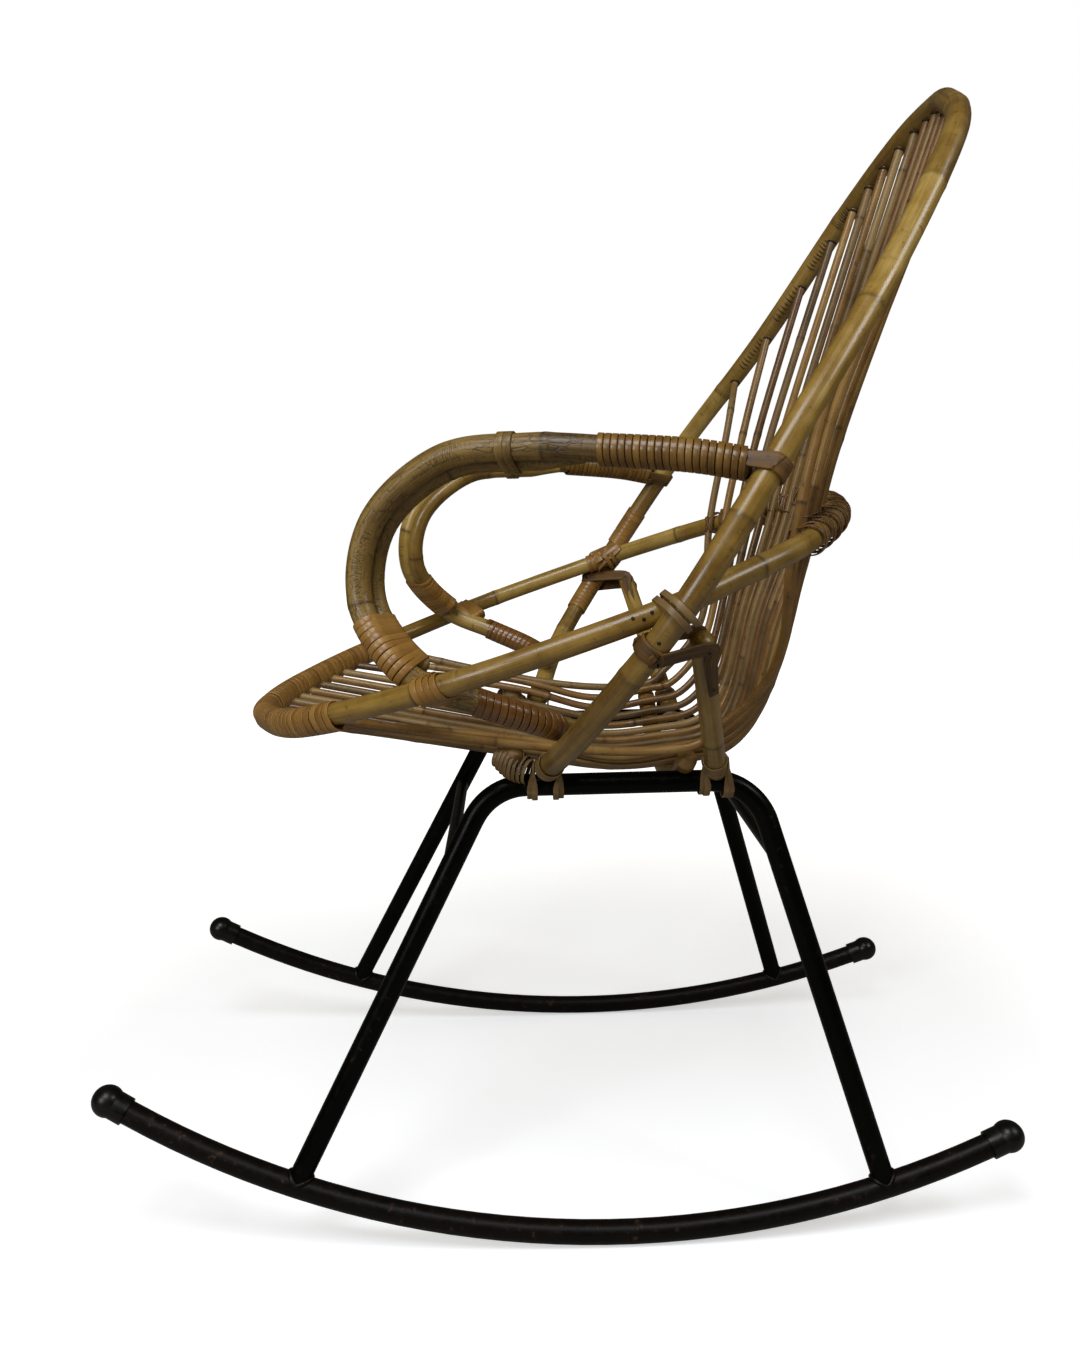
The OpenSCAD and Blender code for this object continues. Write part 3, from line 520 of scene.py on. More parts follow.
def minus(add, a, b):
    return math2(add, "SUBTRACT", a, b)


def stretched(add, vector, scale):
    return add("ShaderNodeMapping", {"Vector": vector, "Scale": scale}).outputs["Vector"]


def noise(add, vector, scale, detail, roughness=0.5, distortion=0.0):
    given = {"Vector": vector, "Scale": scale, "Detail": detail, "Roughness": roughness,
             "Distortion": distortion}
    return add("ShaderNodeTexNoise", given).outputs["Fac"]


def cellEdges(add, vector):
    return add("ShaderNodeTexVoronoi", {"Vector": vector, "Scale": 1.0},
               feature="DISTANCE_TO_EDGE").outputs["Distance"]


def remap(add, value, low, high, toLow=0.0, toHigh=1.0):
    given = {"Value": value, "From Min": low, "From Max": high, "To Min": toLow, "To Max": toHigh}
    return add("ShaderNodeMapRange", given).outputs["Result"]


def raisedBy(add, height, strength, distance):
    given = {"Height": height, "Strength": strength, "Distance": distance}
    return add("ShaderNodeBump", given).outputs["Normal"]


plainCane = {"streak": 1.0, "wrinkle": 0.0, "specks": 0.0, "blotch": 0.5, "bump": 0.25, "crackle": 0.0}
canes = {
    "poleCane": {"dark": (104, 76, 28), "mid": (152, 121, 52), "light": (186, 158, 84), "roughness": 0.33,
                 "coat": 0.35, "wrinkle": 0.45, "specks": 0.4},
    "armCane": {"dark": (72, 53, 20), "mid": (122, 95, 42), "light": (152, 124, 62), "roughness": 0.42,
                "coat": 0.2, "streak": 1.4, "wrinkle": 0.4, "specks": 0.4, "bump": 0.5, "crackle": 0.5},
    "rodCane": {"dark": (80, 52, 20), "mid": (134, 99, 46), "light": (168, 132, 72), "roughness": 0.36,
                "coat": 0.25, "wrinkle": 0.2, "specks": 0.5},
    "rodGrey": {"dark": (80, 58, 28), "mid": (124, 97, 54), "light": (152, 124, 76), "roughness": 0.42,
                "coat": 0.15, "wrinkle": 0.3, "specks": 0.5},
    "rodDark": {"dark": (66, 42, 18), "mid": (112, 78, 38), "light": (146, 108, 58), "roughness": 0.36,
                "coat": 0.25, "wrinkle": 0.2, "specks": 0.6},
    "edgeCane": {"dark": (100, 66, 24), "mid": (148, 107, 46), "light": (180, 142, 74), "roughness": 0.38,
                 "coat": 0.2, "blotch": 0.4},
    "windCane": {"dark": (78, 52, 14), "mid": (118, 84, 26), "light": (148, 112, 46), "roughness": 0.36,
                 "coat": 0.3, "blotch": 0.4},
    "redCane": {"dark": (74, 44, 16), "mid": (118, 78, 30), "light": (150, 106, 50), "roughness": 0.28,
                "coat": 0.5, "blotch": 0.4},
    "strapCane": {"dark": (60, 38, 10), "mid": (112, 78, 24), "light": (140, 104, 40), "roughness": 0.6,
                  "coat": 0.05, "streak": 1.5, "specks": 0.5},
    "paleCane": {"dark": (82, 60, 32), "mid": (124, 98, 58), "light": (154, 127, 82), "roughness": 0.48,
                 "coat": 0.1, "blotch": 0.4},
    "rearCane": {"dark": (84, 64, 34), "mid": (130, 104, 62), "light": (164, 136, 88), "roughness": 0.42,
                 "coat": 0.15, "blotch": 0.5}}


def addWrinkles(add, grain, colour, height, dark, amount):
    # short dark lines across the grain, in patches
    cracks = noise(add, stretched(add, grain, (60, 60, 420)), 1.0, 2.0, 0.5, 0.4)
    patches = noise(add, stretched(add, grain, (90, 90, 16)), 1.0, 2.0)
    where = times(add, remap(add, cracks, 0.58, 0.7), remap(add, patches, 0.5, 0.6))
    worn = times(add, where, amount)
    return mixColour(add, worn, colour, shaded(dark, 0.3)), minus(add, height, times(add, worn, 1.4))


def addCrackle(add, grain, colour, height, dark, amount):
    # long splits along the grain on one share of the pole, short ones across it on another
    longOnes = remap(add, cellEdges(add, stretched(add, grain, (300, 300, 75))), 0.1, 0.03)
    shortOnes = remap(add, cellEdges(add, stretched(add, grain, (110, 110, 420))), 0.09, 0.03)
    shares = noise(add, stretched(add, grain, (60, 60, 12)), 1.0, 3.0)
    first, second = remap(add, shares, 0.47, 0.56), remap(add, shares, 0.47, 0.4)
    split = plus(add, times(add, longOnes, first), times(add, shortOnes, second))
    worn = mixColour(add, times(add, first, 0.1), colour, tint(112, 90, 52))
    return mixColour(add, times(add, split, amount), worn, shaded(dark, 0.3)), minus(add, height, split)


def caneMaterial(name, given):
    look = {**plainCane, **given}
    dark, mid, light = (tint(*look[key]) for key in ("dark", "mid", "light"))
    streak, blotch, roughness = look["streak"], look["blotch"], look["roughness"]
    material, tree, shader, add = newMaterial(name, roughness, look["coat"], 0.18)
    grain = add("ShaderNodeAttribute", attribute_name="grain").outputs["Vector"]
    tone = add("ShaderNodeAttribute", attribute_name="tone").outputs["Fac"]
    knot = add("ShaderNodeAttribute", attribute_name="knot").outputs["Fac"]
    spot = add("ShaderNodeTexCoord").outputs["Object"]
    fibres = noise(add, stretched(add, grain, (900, 900, 14)), 1.0, 3.0, 0.6)
    broad = noise(add, stretched(add, grain, (150, 150, 9)), 1.0, 4.0, 0.55)
    clouds = noise(add, spot, 34.0, 5.0, 0.62)
    # tone of the length between two nodes, then broad streaks, fine fibres and clouds
    level = plus(add, times(add, broad, 0.5 * streak), times(add, fibres, 0.32 * streak))
    level = plus(add, level, times(add, clouds, blotch))
    level = plus(add, level, times(add, tone, 0.34))
    level = minus(add, level, 0.41 * streak + 0.5 * blotch + 0.17 - 0.5)
    colour = ramp(add, level, [(0.24, dark), (0.5, mid), (0.74, light)])
    colour = mixColour(add, times(add, knot, 0.75), colour, shaded(dark, 0.35))
    height = times(add, fibres, 0.6)
    if look["wrinkle"]:
        colour, height = addWrinkles(add, grain, colour, height, dark, look["wrinkle"])
    if look["crackle"]:
        colour, height = addCrackle(add, grain, colour, height, dark, look["crackle"])
    if look["specks"]:
        few = remap(add, noise(add, spot, 210.0, 2.0), 0.66, 0.72)
        colour = mixColour(add, times(add, few, look["specks"]), colour, shaded(dark, 0.25))
    tree.links.new(colour, shader.inputs["Base Color"])
    rough = remap(add, clouds, 0.3, 0.7, roughness - 0.08, roughness + 0.14)
    tree.links.new(rough, shader.inputs["Roughness"])
    tree.links.new(raisedBy(add, height, look["bump"], 0.0006), shader.inputs["Normal"])
    return material


finish = {name: caneMaterial(name, look) for name, look in canes.items()}


def paintMaterial(name, rust, roughness, gloss, low, high):
    material, tree, shader, add = newMaterial(name, roughness, 0.0, 0.25, gloss)
    spot = add("ShaderNodeTexCoord").outputs["Object"]
    fine = noise(add, spot, 120.0, 6.0, 0.7)
    wide = noise(add, spot, 14.0, 3.0, 0.6)
    worn = times(add, times(add, remap(add, fine, 0.6, 0.66), remap(add, wide, 0.4, 0.6)), rust)
    black = ramp(add, wide, [(0.3, low), (0.7, high)])
    tree.links.new(mixColour(add, worn, black, tint(70, 46, 30)), shader.inputs["Base Color"])
    tree.links.new(remap(add, fine, 0.3, 0.7, roughness - 0.08, roughness + 0.16), shader.inputs["Roughness"])
    tree.links.new(raisedBy(add, fine, 0.12, 0.0004), shader.inputs["Normal"])
    return material


def rubberMaterial():
    material, tree, shader, add = newMaterial("capRubber", 0.3, 0.0, 0.2, 0.4)
    spot = add("ShaderNodeTexCoord").outputs["Object"]
    fine = noise(add, spot, 90.0, 4.0)
    black = ramp(add, fine, [(0.3, tint(4, 4, 4)), (0.75, tint(11, 11, 11))])
    tree.links.new(black, shader.inputs["Base Color"])
    tree.links.new(remap(add, fine, 0.3, 0.7, 0.24, 0.4), shader.inputs["Roughness"])
    return material


def plainMaterial(name, colour, metallic, roughness):
    material, tree, shader, add = newMaterial(name, roughness)
    shader.inputs["Metallic"].default_value = metallic
    spot = add("ShaderNodeTexCoord").outputs["Object"]
    fine = noise(add, spot, 300.0, 2.0)
    tree.links.new(ramp(add, fine, [(0.3, colour), (0.8, shaded(colour, 1.7))]), shader.inputs["Base Color"])
    return material


rockerPaint = paintMaterial("rockerPaint", 0.9, 0.34, 0.22, tint(6, 4, 2), tint(15, 10, 7))
legPaint = paintMaterial("legPaint", 0.3, 0.26, 0.1, tint(1, 1, 1), tint(6, 7, 6))
capRubber = rubberMaterial()
nailSteel = plainMaterial("nailSteel", tint(46, 38, 30), 0.6, 0.45)
# painted shade: the dark sleeve that shows in the gaps between winding turns
gapShadeDark = plainMaterial("gapShadeDark", tint(44, 27, 12), 0.0, 0.8)
# holeDark colours the painted shade round the rod holes, and the dark crease lines on the hoop
holeDark = plainMaterial("holeDark", tint(38, 24, 13), 0.0, 0.7)
print("materials are ready")


# Poles with their nodes
dice = random.Random(31)
poleLook = {"step": 2.5, "swell": 0.05, "swellWidth": 5.5, "neckAt": 2.5, "neckWidth": 1.6, "lineWidth": 1.5,
            "toneWidth": 2.0, "wave": 0.008, "sides": 24}
rodLook = {"swell": 0.09, "ease": 1.5, "sides": 12, "firstNode": (40, 160), "nodeGap": (130, 260),
           "lastNode": 1150, "taper": 0.05, "shades": ("rodCane", "rodCane", "rodGrey", "rodDark")}
ringHalfD, hoopHalfD, armHalfD = ring["d"] / 2, hoop["d"] / 2, arms["d"] / 2
plyHalfD, strutHalfD = arms["ply"] / 2, struts["d"] / 2
ringS, hoopSideS, hoopLen = lengthsOf(ringSide), lengthsOf(hoopSide), lengthsOf(hoopPath)[-1]
armFinish = {"left": "armCane", "right": "poleCane"}


def waves(s):
    return sum(poleLook["wave"] * math.sin(dice.uniform(0, 6.28)) *
               np.sin(s / dice.uniform(35, 90) + dice.uniform(0, 6.28)) for _ in range(3))


def knotted(path, radius, knots, closed=False, swell=poleLook["swell"], ease=0.0, taper=None):
    line = resampled(path, poleLook["step"], closed)
    s = lengthsOf(line)
    total = s[-1]
    girth = np.full(len(line), float(radius))
    if taper is not None:
        girth = np.interp(s / total, *taper)
    knot = np.zeros(len(line))
    tone = np.full(len(line), dice.random())
    for node in sorted(knots):
        away = s - node
        neck = np.exp(-((away - poleLook["neckAt"]) / poleLook["neckWidth"]) ** 2)
        girth *= 1 + swell * np.exp(-(away / poleLook["swellWidth"]) ** 2) - 0.5 * swell * neck
        knot = np.maximum(knot, np.exp(-(away / poleLook["lineWidth"]) ** 2))
        step = 1 / (1 + np.exp(np.clip(-away / poleLook["toneWidth"], -50, 50)))
        tone = tone * (1 - step) + dice.random() * step
    girth *= 1 + waves(s)
    if ease:
        rim = np.minimum(s, total - s)
        girth *= np.sqrt(np.clip(1 - (1 - np.clip(rim / ease, 0.04, 1)) ** 2, 0.04, 1))
    return {"path": line, "girth": girth * mm, "knot": knot, "tone": tone, "closed": closed}


def pole(name, strand, material, replaced, sides=poleLook["sides"], slotName="pole_cane"):
    swept(name, [strand], poleTree, {"Material": finish[material], "Sides": sides}, slotName, replaced)


def nearHoop(z):
    return hoopSideS[int(crossing(hoopSide, 2, z)[2])]


hoopMarks = [nearHoop(z) for z in hoop["nearKnotsZ"]] + [hoopLen - nearHoop(z) for z in hoop["farKnotsZ"]]
pole("hoopPole", knotted(hoopPath, hoopHalfD, hoopMarks, ease=3), "poleCane", ("back_hoop",), 28)
pole("ringPole", knotted(ringPath, ringHalfD, ring["knots"], closed=True), "poleCane", ("seat_ring",))
print("hoop and ring are bent")

# the ply lies against the arm, and its first end is thinned
plyLook = {"points": 40, "endR": 0.35, "growth": 0.15, "thinned": 0.4, "thinTo": 0.12, "sides": 20}
plyLine = []
for k in range(plyLook["points"] + 1):
    d = lerp(plyFrom, plyTo, k / plyLook["points"])
    c, f = pointAt(armPath, armS, d), directionAt(armPath, armS, d)
    r = plyHalfD * min(1, plyLook["endR"] + k * plyLook["growth"])
    plyLine.append(c + plySide(c, f) * (armHalfD + r + gap))
plyTaper = ([0, plyLook["thinTo"], 1], [plyHalfD * plyLook["thinned"], plyHalfD, plyHalfD])
armCurve = resampled(armPath, poleLook["step"])
for side, sign in sides:
    flip = asIs if sign > 0 else mirrored
    made = knotted(flip(armCurve), armHalfD, arms["knots"][side], ease=3)
    pole("armPole_" + side, made, armFinish[side], ())
    made = knotted(flip(plyLine), plyHalfD, arms["plyKnots"][side], taper=plyTaper, ease=2)
    pole("plyPole_" + side, made, armFinish[side], ("arm_ply_" + side,), plyLook["sides"])


# Strips and straps
straps = {
    "arm": {"width": 14, "sink": 0.5, "over": (30, 20, 10, 2), "under": (6, 20, 40, 60, 80), "turn": (5, 175),
            "widths": [0.25, 0.35, 0.5, 0.85] + [1.0] * 11 + [0.9, 0.6, 0.5, 0.5, 0.45], "tone": 0.1},
    "strut": {"width": struts["strapW"], "sink": 0.4, "over": (50, 34, 16, 2), "under": (3, 18, 38, 60),
              "turn": (4, 176), "widths": [0.35, 0.6, 0.85] + [1.0] * 13 + [0.9, 0.8, 0.6], "tone": 0.2}}


def strip(path, facing, width=1.0, tone=None):
    path, facing = np.array(path, float), np.array(facing, float)
    return {"path": path, "facing": facing, "girth": np.asarray(width, float) * np.ones(len(path)),
            "tone": np.full(len(path), dice.uniform(0.3, 0.7) if tone is None else tone)}


def closedStrip(path, facing):
    return dict(strip(path, facing), closed=True)


def wrappedOn(centre, u, v, r, start, end):
    return [(centre + r * o, o) for o in circle(u, v, np.radians(np.linspace(start, end, 11)))]


def strap(look, flip, at, n, f, radius, centre):
    # a thinned end that runs out over its own pole, half round the hoop and back under the pole
    thick = struts["strapT"]
    over = [(at(k) + n * (radius - thick * look["sink"]), n) for k in look["over"]]
    under = [(at(k) - n * (radius + gap + thick / 2), -n) for k in look["under"]]
    run = over + wrappedOn(centre, n, f, hoopHalfD + gap + thick / 2, *look["turn"]) + under
    line = curveThrough(flip([p for p, _ in run]), 6)
    face = np.array([unit(q) for q in curveThrough(flip([q for _, q in run]), 6)])
    widths = look["widths"]
    wide = np.interp(np.linspace(0, len(widths) - 1, len(line)), range(len(widths)), widths)
    return strip(line, face, wide, look["tone"])


def strapPiece(name, look, made, replaced=()):
    swept(name, [made], stripTree, {"Material": finish["strapCane"], "Width": look["width"] * mm,
                                    "Thickness": struts["strapT"] * mm}, "pole_cane", replaced)


def onArm(d):
    return pointAt(armPath, armS, d)


def onStrut(d):
    return strutTop - strutAxis * d


armAcross = towards(armJointHeading, armDir)
armOut = np.cross(armAcross, armJointHeading)
armOut = armOut if armOut[0] > 0 else -armOut
strutAcross = towards(strutHeading, strutAxis)
strutOut = np.cross(strutAcross, strutHeading)
strutCurve = resampled(curveThrough(strutLine, 8), poleLook["step"])
for side, sign in sides:
    flip = asIs if sign > 0 else mirrored
    strapPiece("armStrap_" + side, straps["arm"],
               strap(straps["arm"], flip, onArm, armOut, armAcross, armHalfD, armJoint), ("arm_" + side,))
    made = knotted(flip(strutCurve), strutHalfD, struts["knots"][side], ease=3)
    pole("strutPole_" + side, made, "poleCane", ("strut_" + side,))
    strapPiece("strutStrap_" + side, straps["strut"],
               strap(straps["strut"], flip, onStrut, strutOut, strutAcross, strutHalfD, strutLoop))
print("arms and struts are on")

for key, name, y, sag, seat in (
        ("barFront", "front_crossbar", -bars["front"], bars["sagFront"], frontSeat),
        ("barRear", "rear_crossbar", bars["rear"], bars["sagRear"], bars["rearSeat"])):
    half = math.asin(bars["length"] / 2 / barArc(sag))
    line = [v3(math.sin(w) * barArc(sag), y, barZ(0, sag, seat) + barArc(sag) * (1 - math.cos(w)))
            for w in np.linspace(half, -half, 60)]
    made = knotted(line, bars["d"] / 2, bars["knots"], ease=2)
    pole(key, made, "rodCane", (name,), slotName="rod_cane")

rodPaths = [rodPath(i / rods["pairs"]) for i in range(-rods["pairs"], rods["pairs"] + 1)]
for number, path in enumerate(rodPaths, 1):
    marks, at = [], dice.uniform(*rodLook["firstNode"])
    while at < rodLook["lastNode"]:
        marks.append(at)
        at += dice.uniform(*rodLook["nodeGap"])
    rod = knotted(path, rods["d"] / 2, marks, swell=rodLook["swell"], ease=rodLook["ease"])
    taper = dice.uniform(-rodLook["taper"], rodLook["taper"])
    rod["girth"] *= 1 + taper * np.linspace(-1, 1, len(rod["girth"]))
    shade = dice.choice(rodLook["shades"])
    pole("rodPole_%d" % number, rod, shade, ("rod_%d" % number,), rodLook["sides"], "rod_cane")
print("rods are in their holes")


# Cane windings. A start is a length along the pole, and jitter is how far a turn may slip.
windings = {
    "edge": {"start": 4.5, "turns": 31, "pitch": 7.85, "jitter": 0.6, "width": 6.9, "aim": (0, 0.4, -1),
             "cane": "edgeCane"},
    "arm": {"start": 4, "turns": 20, "pitch": 5.3, "jitter": 0.15, "width": 4.7, "cane": "windCane"},
    "low": {"start": 0.84 * armLen, "turns": 13, "pitch": 6.15, "jitter": 0.2, "width": 5.8,
            "cane": "redCane"},
    "cross": {"start": 0, "turns": 2, "pitch": 7, "jitter": 0, "width": 5, "radius": 13, "y": 33, "before": 7,
              "after": 43, "cane": "paleCane", "farCane": "edgeCane"},
    "rear": {"pitch": 10.6, "jitter": 0.35, "width": 9.4, "fromX": 150, "cane": "rearCane"}}
loops = {
    "join": {"start": plyTo - 65, "count": 10, "pitch": 5.6, "width": 5.5, "cane": "edgeCane"},
    "grip": {"start": plyFrom + 57, "count": 2, "pitch": 6.2, "width": 6.2, "cane": "armCane"},
    "ringTie": {"onArm": 455, "onRing": 341, "lean": 0.25, "count": 4, "pitch": 5.6, "lift": 0.2,
                "width": 5.4, "cane": "edgeCane"},
    "farCross": {"onHoop": 238, "onRing": 533, "count": 4, "pitch": 5.8, "lift": 1.4, "width": 5.3,
                 "cane": "edgeCane"},
    "farHoopAbove": {"start": 260, "count": 9, "pitch": 5.3},
    "farHoopBelow": {"start": 164, "count": 12, "pitch": 5.3},
    "farRing": {"start": 508, "count": 3, "pitch": 5.4},
    "collar": {"start": 9, "count": 4, "pitch": 3.7, "width": 3.5, "length": 40, "cane": "paleCane"},
    "barCoil": {"start": 18.6, "count": 5, "pitch": 3.8, "width": 3.3, "fromX": 112, "toX": 152,
                "cane": "paleCane"},
    "rodTie": {"lean": 0.25, "lift": 1.2, "width": 3.4, "behind": 60, "overRing": 1.4, "cane": "rodDark"}}
windSteps = 20


def wound(path, look, radius, half=0.0, aim=None):
    # one strip wound round a pole, or round two that lie side by side when half is given
    s = lengthsOf(path)
    turns, jitter = look["turns"], look["jitter"]
    points, facing, tones = [], [], []
    shades = [dice.uniform(0.25, 0.75) for _ in range(turns + 2)]
    slips = [dice.uniform(-jitter, jitter) for _ in range(turns + 2)]
    for k in range(turns * windSteps + 1):
        t = k / windSteps
        turn = int(t)
        d = look["start"] + look["pitch"] * t + lerp(slips[turn], slips[turn + 1], t - turn)
        c, f = pointAt(path, s, d), directionAt(path, s, d, 9.0)
        u = towards(f, plySide(c, f) if aim is None else aim)
        w = 2 * math.pi * (k + 0.5) / windSteps
        o = math.cos(w) * u + math.sin(w) * np.cross(f, u)
        points.append(c + u * (half + math.copysign(half, math.cos(w))) + o * (radius + gap + caneT / 2))
        facing.append(o)
        tones.append(lerp(shades[turn], shades[turn + 1], max(0, (t - turn) * 6 - 5)))
    return dict(strip(points, facing), tone=np.array(tones))


def cane(name, strands, look, replaced=()):
    values = {"Material": finish[look["cane"]], "Width": look["width"] * mm, "Thickness": caneT * mm}
    swept(name, strands, stripTree, values, "binding_cane", replaced)


def flipped(strands):
    return [dict(s, path=mirrored(s["path"]), facing=mirrored(s["facing"])) for s in strands]


def hullOf(points):
    ordered = sorted(set((round(x, 4), round(y, 4)) for x, y in points))

    def half(run):
        kept = []
        for q in run:
            while len(kept) > 1 and (kept[-1][0] - kept[-2][0]) * (q[1] - kept[-2][1]) <= \
                    (kept[-1][1] - kept[-2][1]) * (q[0] - kept[-2][0]):
                kept.pop()
            kept.append(q)
        return kept[:-1]
    return np.array(half(ordered) + half(ordered[::-1]))


def band(poles, centre, axis, lift):
    # one loop of cane drawn tight round all the poles, in the plane across axis
    e1 = towards(axis, v3(0.2, 0.1, 1))
    e2 = np.cross(axis, e1)
    flat = []
    for p, h, r in poles:
        u = towards(h, v3(0.5, 0.3, 0.8))
        for ray in circle(u, np.cross(h, u), fullTurn(40)):
            o = (r + gap + lift + caneT / 2) * ray
            run = ((centre - p - o) @ axis) / (h @ axis)
            q = p + o + h * min(max(run, -1.8 * r), 1.8 * r) - centre
            flat.append((q @ e1, q @ e2))
    outline = hullOf(flat)
    loop = resampled(np.c_[outline, np.zeros(len(outline))], 1.6, True)
    along = np.roll(loop, -1, 0) - np.roll(loop, 1, 0)
    out = np.array([unit(v3(t[1], -t[0], 0)) for t in along])
    return closedStrip([centre + e1 * q[0] + e2 * q[1] for q in loop], [e1 * q[0] + e2 * q[1] for q in out])


def bands(poles, centre, axis, count, pitch, lift=0.0):
    made = []
    for k in range(count):
        off = k - (count - 1) / 2
        turned = unit(axis + v3(*(dice.uniform(-0.02, 0.02) for _ in range(3))))
        made.append(band(poles, centre + axis * (off * pitch + dice.uniform(-0.2, 0.2)), turned, lift))
    return made


def poleAt(path, d, radius):
    s = lengthsOf(path)
    return pointAt(path, s, d), directionAt(path, s, d), radius


def alongPole(path, radius, look, partner=None):
    made = []
    for k in range(look["count"]):
        d = look["start"] + k * look["pitch"]
        here = poleAt(path, d, radius)
        made += bands([here] + ([partner(d)] if partner else []), here[0], here[1], 1, 0)
    return made


def plyAt(d):
    c, f = pointAt(armPath, armS, d), directionAt(armPath, armS, d)
    return c + plySide(c, f) * (armHalfD + plyHalfD + gap), f, plyHalfD


def farTies():
    # only the far side's crossing has these
    far = loops["farCross"]
    onHoop, onRing = poleAt(hoopSide, far["onHoop"], hoopHalfD), poleAt(ringSide, far["onRing"], ringHalfD)
    made = bands([onHoop, onRing], (onHoop[0] + onRing[0]) / 2, unit(onHoop[1] - onRing[1]), far["count"],
                 far["pitch"], far["lift"])
    made += alongPole(hoopSide, hoopHalfD, loops["farHoopAbove"])
    made += alongPole(hoopSide, hoopHalfD, loops["farHoopBelow"])
    return made + alongPole(ringSide, ringHalfD, loops["farRing"])


armTail = np.cross(armJointHeading, armDir)
armTail = -armTail if armTail[0] > 0 else armTail
cross, tie = windings["cross"], loops["ringTie"]
atHoop, hoopHeading, _ = crossing(hoopSide, 1, cross["y"])
atRing, ringHeading, _ = crossing(ringSide, 1, cross["y"])
crossAxis = unit(hoopHeading + ringHeading)
crossLine = np.array([atHoop - crossAxis * cross["before"], atHoop + crossAxis * cross["after"]])
armPole, ringPole = poleAt(armPath, tie["onArm"], armHalfD), poleAt(ringSide, tie["onRing"], ringHalfD)
for side, sign in sides:
    on = asIs if sign > 0 else flipped
    edge = wound(ringSide, windings["edge"], ringHalfD, edgePad / 2, v3(*windings["edge"]["aim"]))
    cane("edgeWrap_" + side, on([edge]), windings["edge"], ("edge_wrap_" + side,))
    armRear = wound(armPath, windings["arm"], armHalfD, (struts["strapT"] + 2 * gap) / 2, armTail)
    cane("armWrap_" + side, on([armRear]), windings["arm"], ("arm_wrap_" + side,))
    joins = alongPole(armPath, armHalfD, loops["join"], plyAt)
    cane("joinWrap_" + side, on(joins), loops["join"], ("join_wrap_" + side,))
    grips = alongPole(armPath, armHalfD, loops["grip"], plyAt)
    cane("bandWrap_" + side, on(grips), loops["grip"], ("binding_" + side,))
    lower = wound(armPath, windings["low"], armHalfD)
    cane("lowWrap_" + side, on([lower]), windings["low"], ("low_wrap_" + side,))
    ties = bands([armPole, ringPole], ringPole[0] + ringPole[1], unit(ringPole[1] + v3(0, 0, tie["lean"])),
                 tie["count"], tie["pitch"], tie["lift"])
    cane("ringTie_" + side, on(ties), tie)
    pair = wound(crossLine, cross, cross["radius"], np.linalg.norm(atHoop - atRing) / 2, atRing - atHoop)
    shade = cross["cane"] if sign > 0 else cross["farCane"]
    cane("crossLashing_" + side, on([pair]), dict(cross, cane=shade), ("cross_lashing_" + side,))
    if sign < 0:
        cane("crossTies_right", flipped(farTies()), loops["farCross"])

# painted shade: a dark sleeve just under the windings, so the gaps between the turns show dark
gapShadeLift = 0.12
gapShades = []
for path, radius, first, last in ((ringSide, ringHalfD, 7, 245), (armPath, armHalfD, 5, 108),
                                  (armPath, armHalfD, windings["low"]["start"], 0.97 * armLen)):
    fine = resampled(path, poleLook["step"])
    fine = fine[(lengthsOf(fine) >= first) & (lengthsOf(fine) <= last)]
    girth = np.full(len(fine), (radius + gapShadeLift) * mm)
    gapShades += [{"path": fine, "girth": girth}, {"path": mirrored(fine), "girth": girth}]
swept("windGapShade", gapShades, poleTree, {"Material": gapShadeDark, "Sides": 24}, "binding_cane")
print("windings are on")

# nails, in the seat ring, the hoop, the arm and the strut's strap
nails = {"size": 1.4, "ring": (498, 505, 512), "hoop": (206, 214), "arm": (30,), "strut": (6, 52),
         "rise": (-150, 260)}


def nail(p, n):
    size = nails["size"]
    line = np.array([p - n * 1.5, p + n * 0.3, p + n * 0.9])
    return {"path": line, "girth": np.array([size, size, size * 0.6]) * mm}


eye = v3(camera["x"], camera["y"] - floorContact, camera["z"])
nailed = []
for path, radius, spots in ((ringSide, ringHalfD, nails["ring"]), (hoopSide, hoopHalfD, nails["hoop"]),
                            (armPath, armHalfD, nails["arm"])):
    for d in spots:
        c, f, r = poleAt(path, d, radius)
        n = towards(f, eye - c + v3(0, 0, dice.uniform(*nails["rise"])))
        nailed.append(nail(c + n * r, n))
for d in nails["strut"]:
    nailed.append(nail(onStrut(d) - strutOut * (strutHalfD + gap + struts["strapT"]), -strutOut))
swept("nails", nailed + [dict(q, path=mirrored(q["path"])) for q in nailed], poleTree,
      {"Material": nailSteel, "Sides": 12}, "binding_cane")

# the ring's rear: a winding between the rods, and a tie round each rod
rear, rodTie = windings["rear"], loops["rodTie"]
rearFrom = ringS[len(ringSide) - 1 - int(crossing(ringSide[::-1], 0, rear["fromX"])[2])]
rearTurns = int((2 * ringS[-1] - rearFrom - rearFrom) / rear["pitch"])
rearStrand = wound(ringPath, dict(rear, start=rearFrom, turns=rearTurns), ringHalfD, 0, v3(0, 0, 1))
cane("ringWrap", [rearStrand], rear)
ties = []
for path in rodPaths:
    away = np.linalg.norm(path[:, None] - ringPath[None], axis=2)
    away[path[:, 1] < rodTie["behind"]] = math.inf
    k, j = np.unravel_index(away.argmin(), away.shape)
    rodPole = (path[k], unit(path[k + 1] - path[k - 1]), rods["d"] / 2)
    ringPole = (ringPath[j], unit(ringPath[j + 1] - ringPath[j - 1]), ringHalfD + rodTie["overRing"])
    for lean, lift in ((rodTie["lean"], 0.0), (-rodTie["lean"], rodTie["lift"])):
        ties += bands([rodPole, ringPole], ringPath[j], unit(ringPole[1] + lean * rodPole[1]), 1, 0, lift)
cane("rodTies", ties, rodTie)


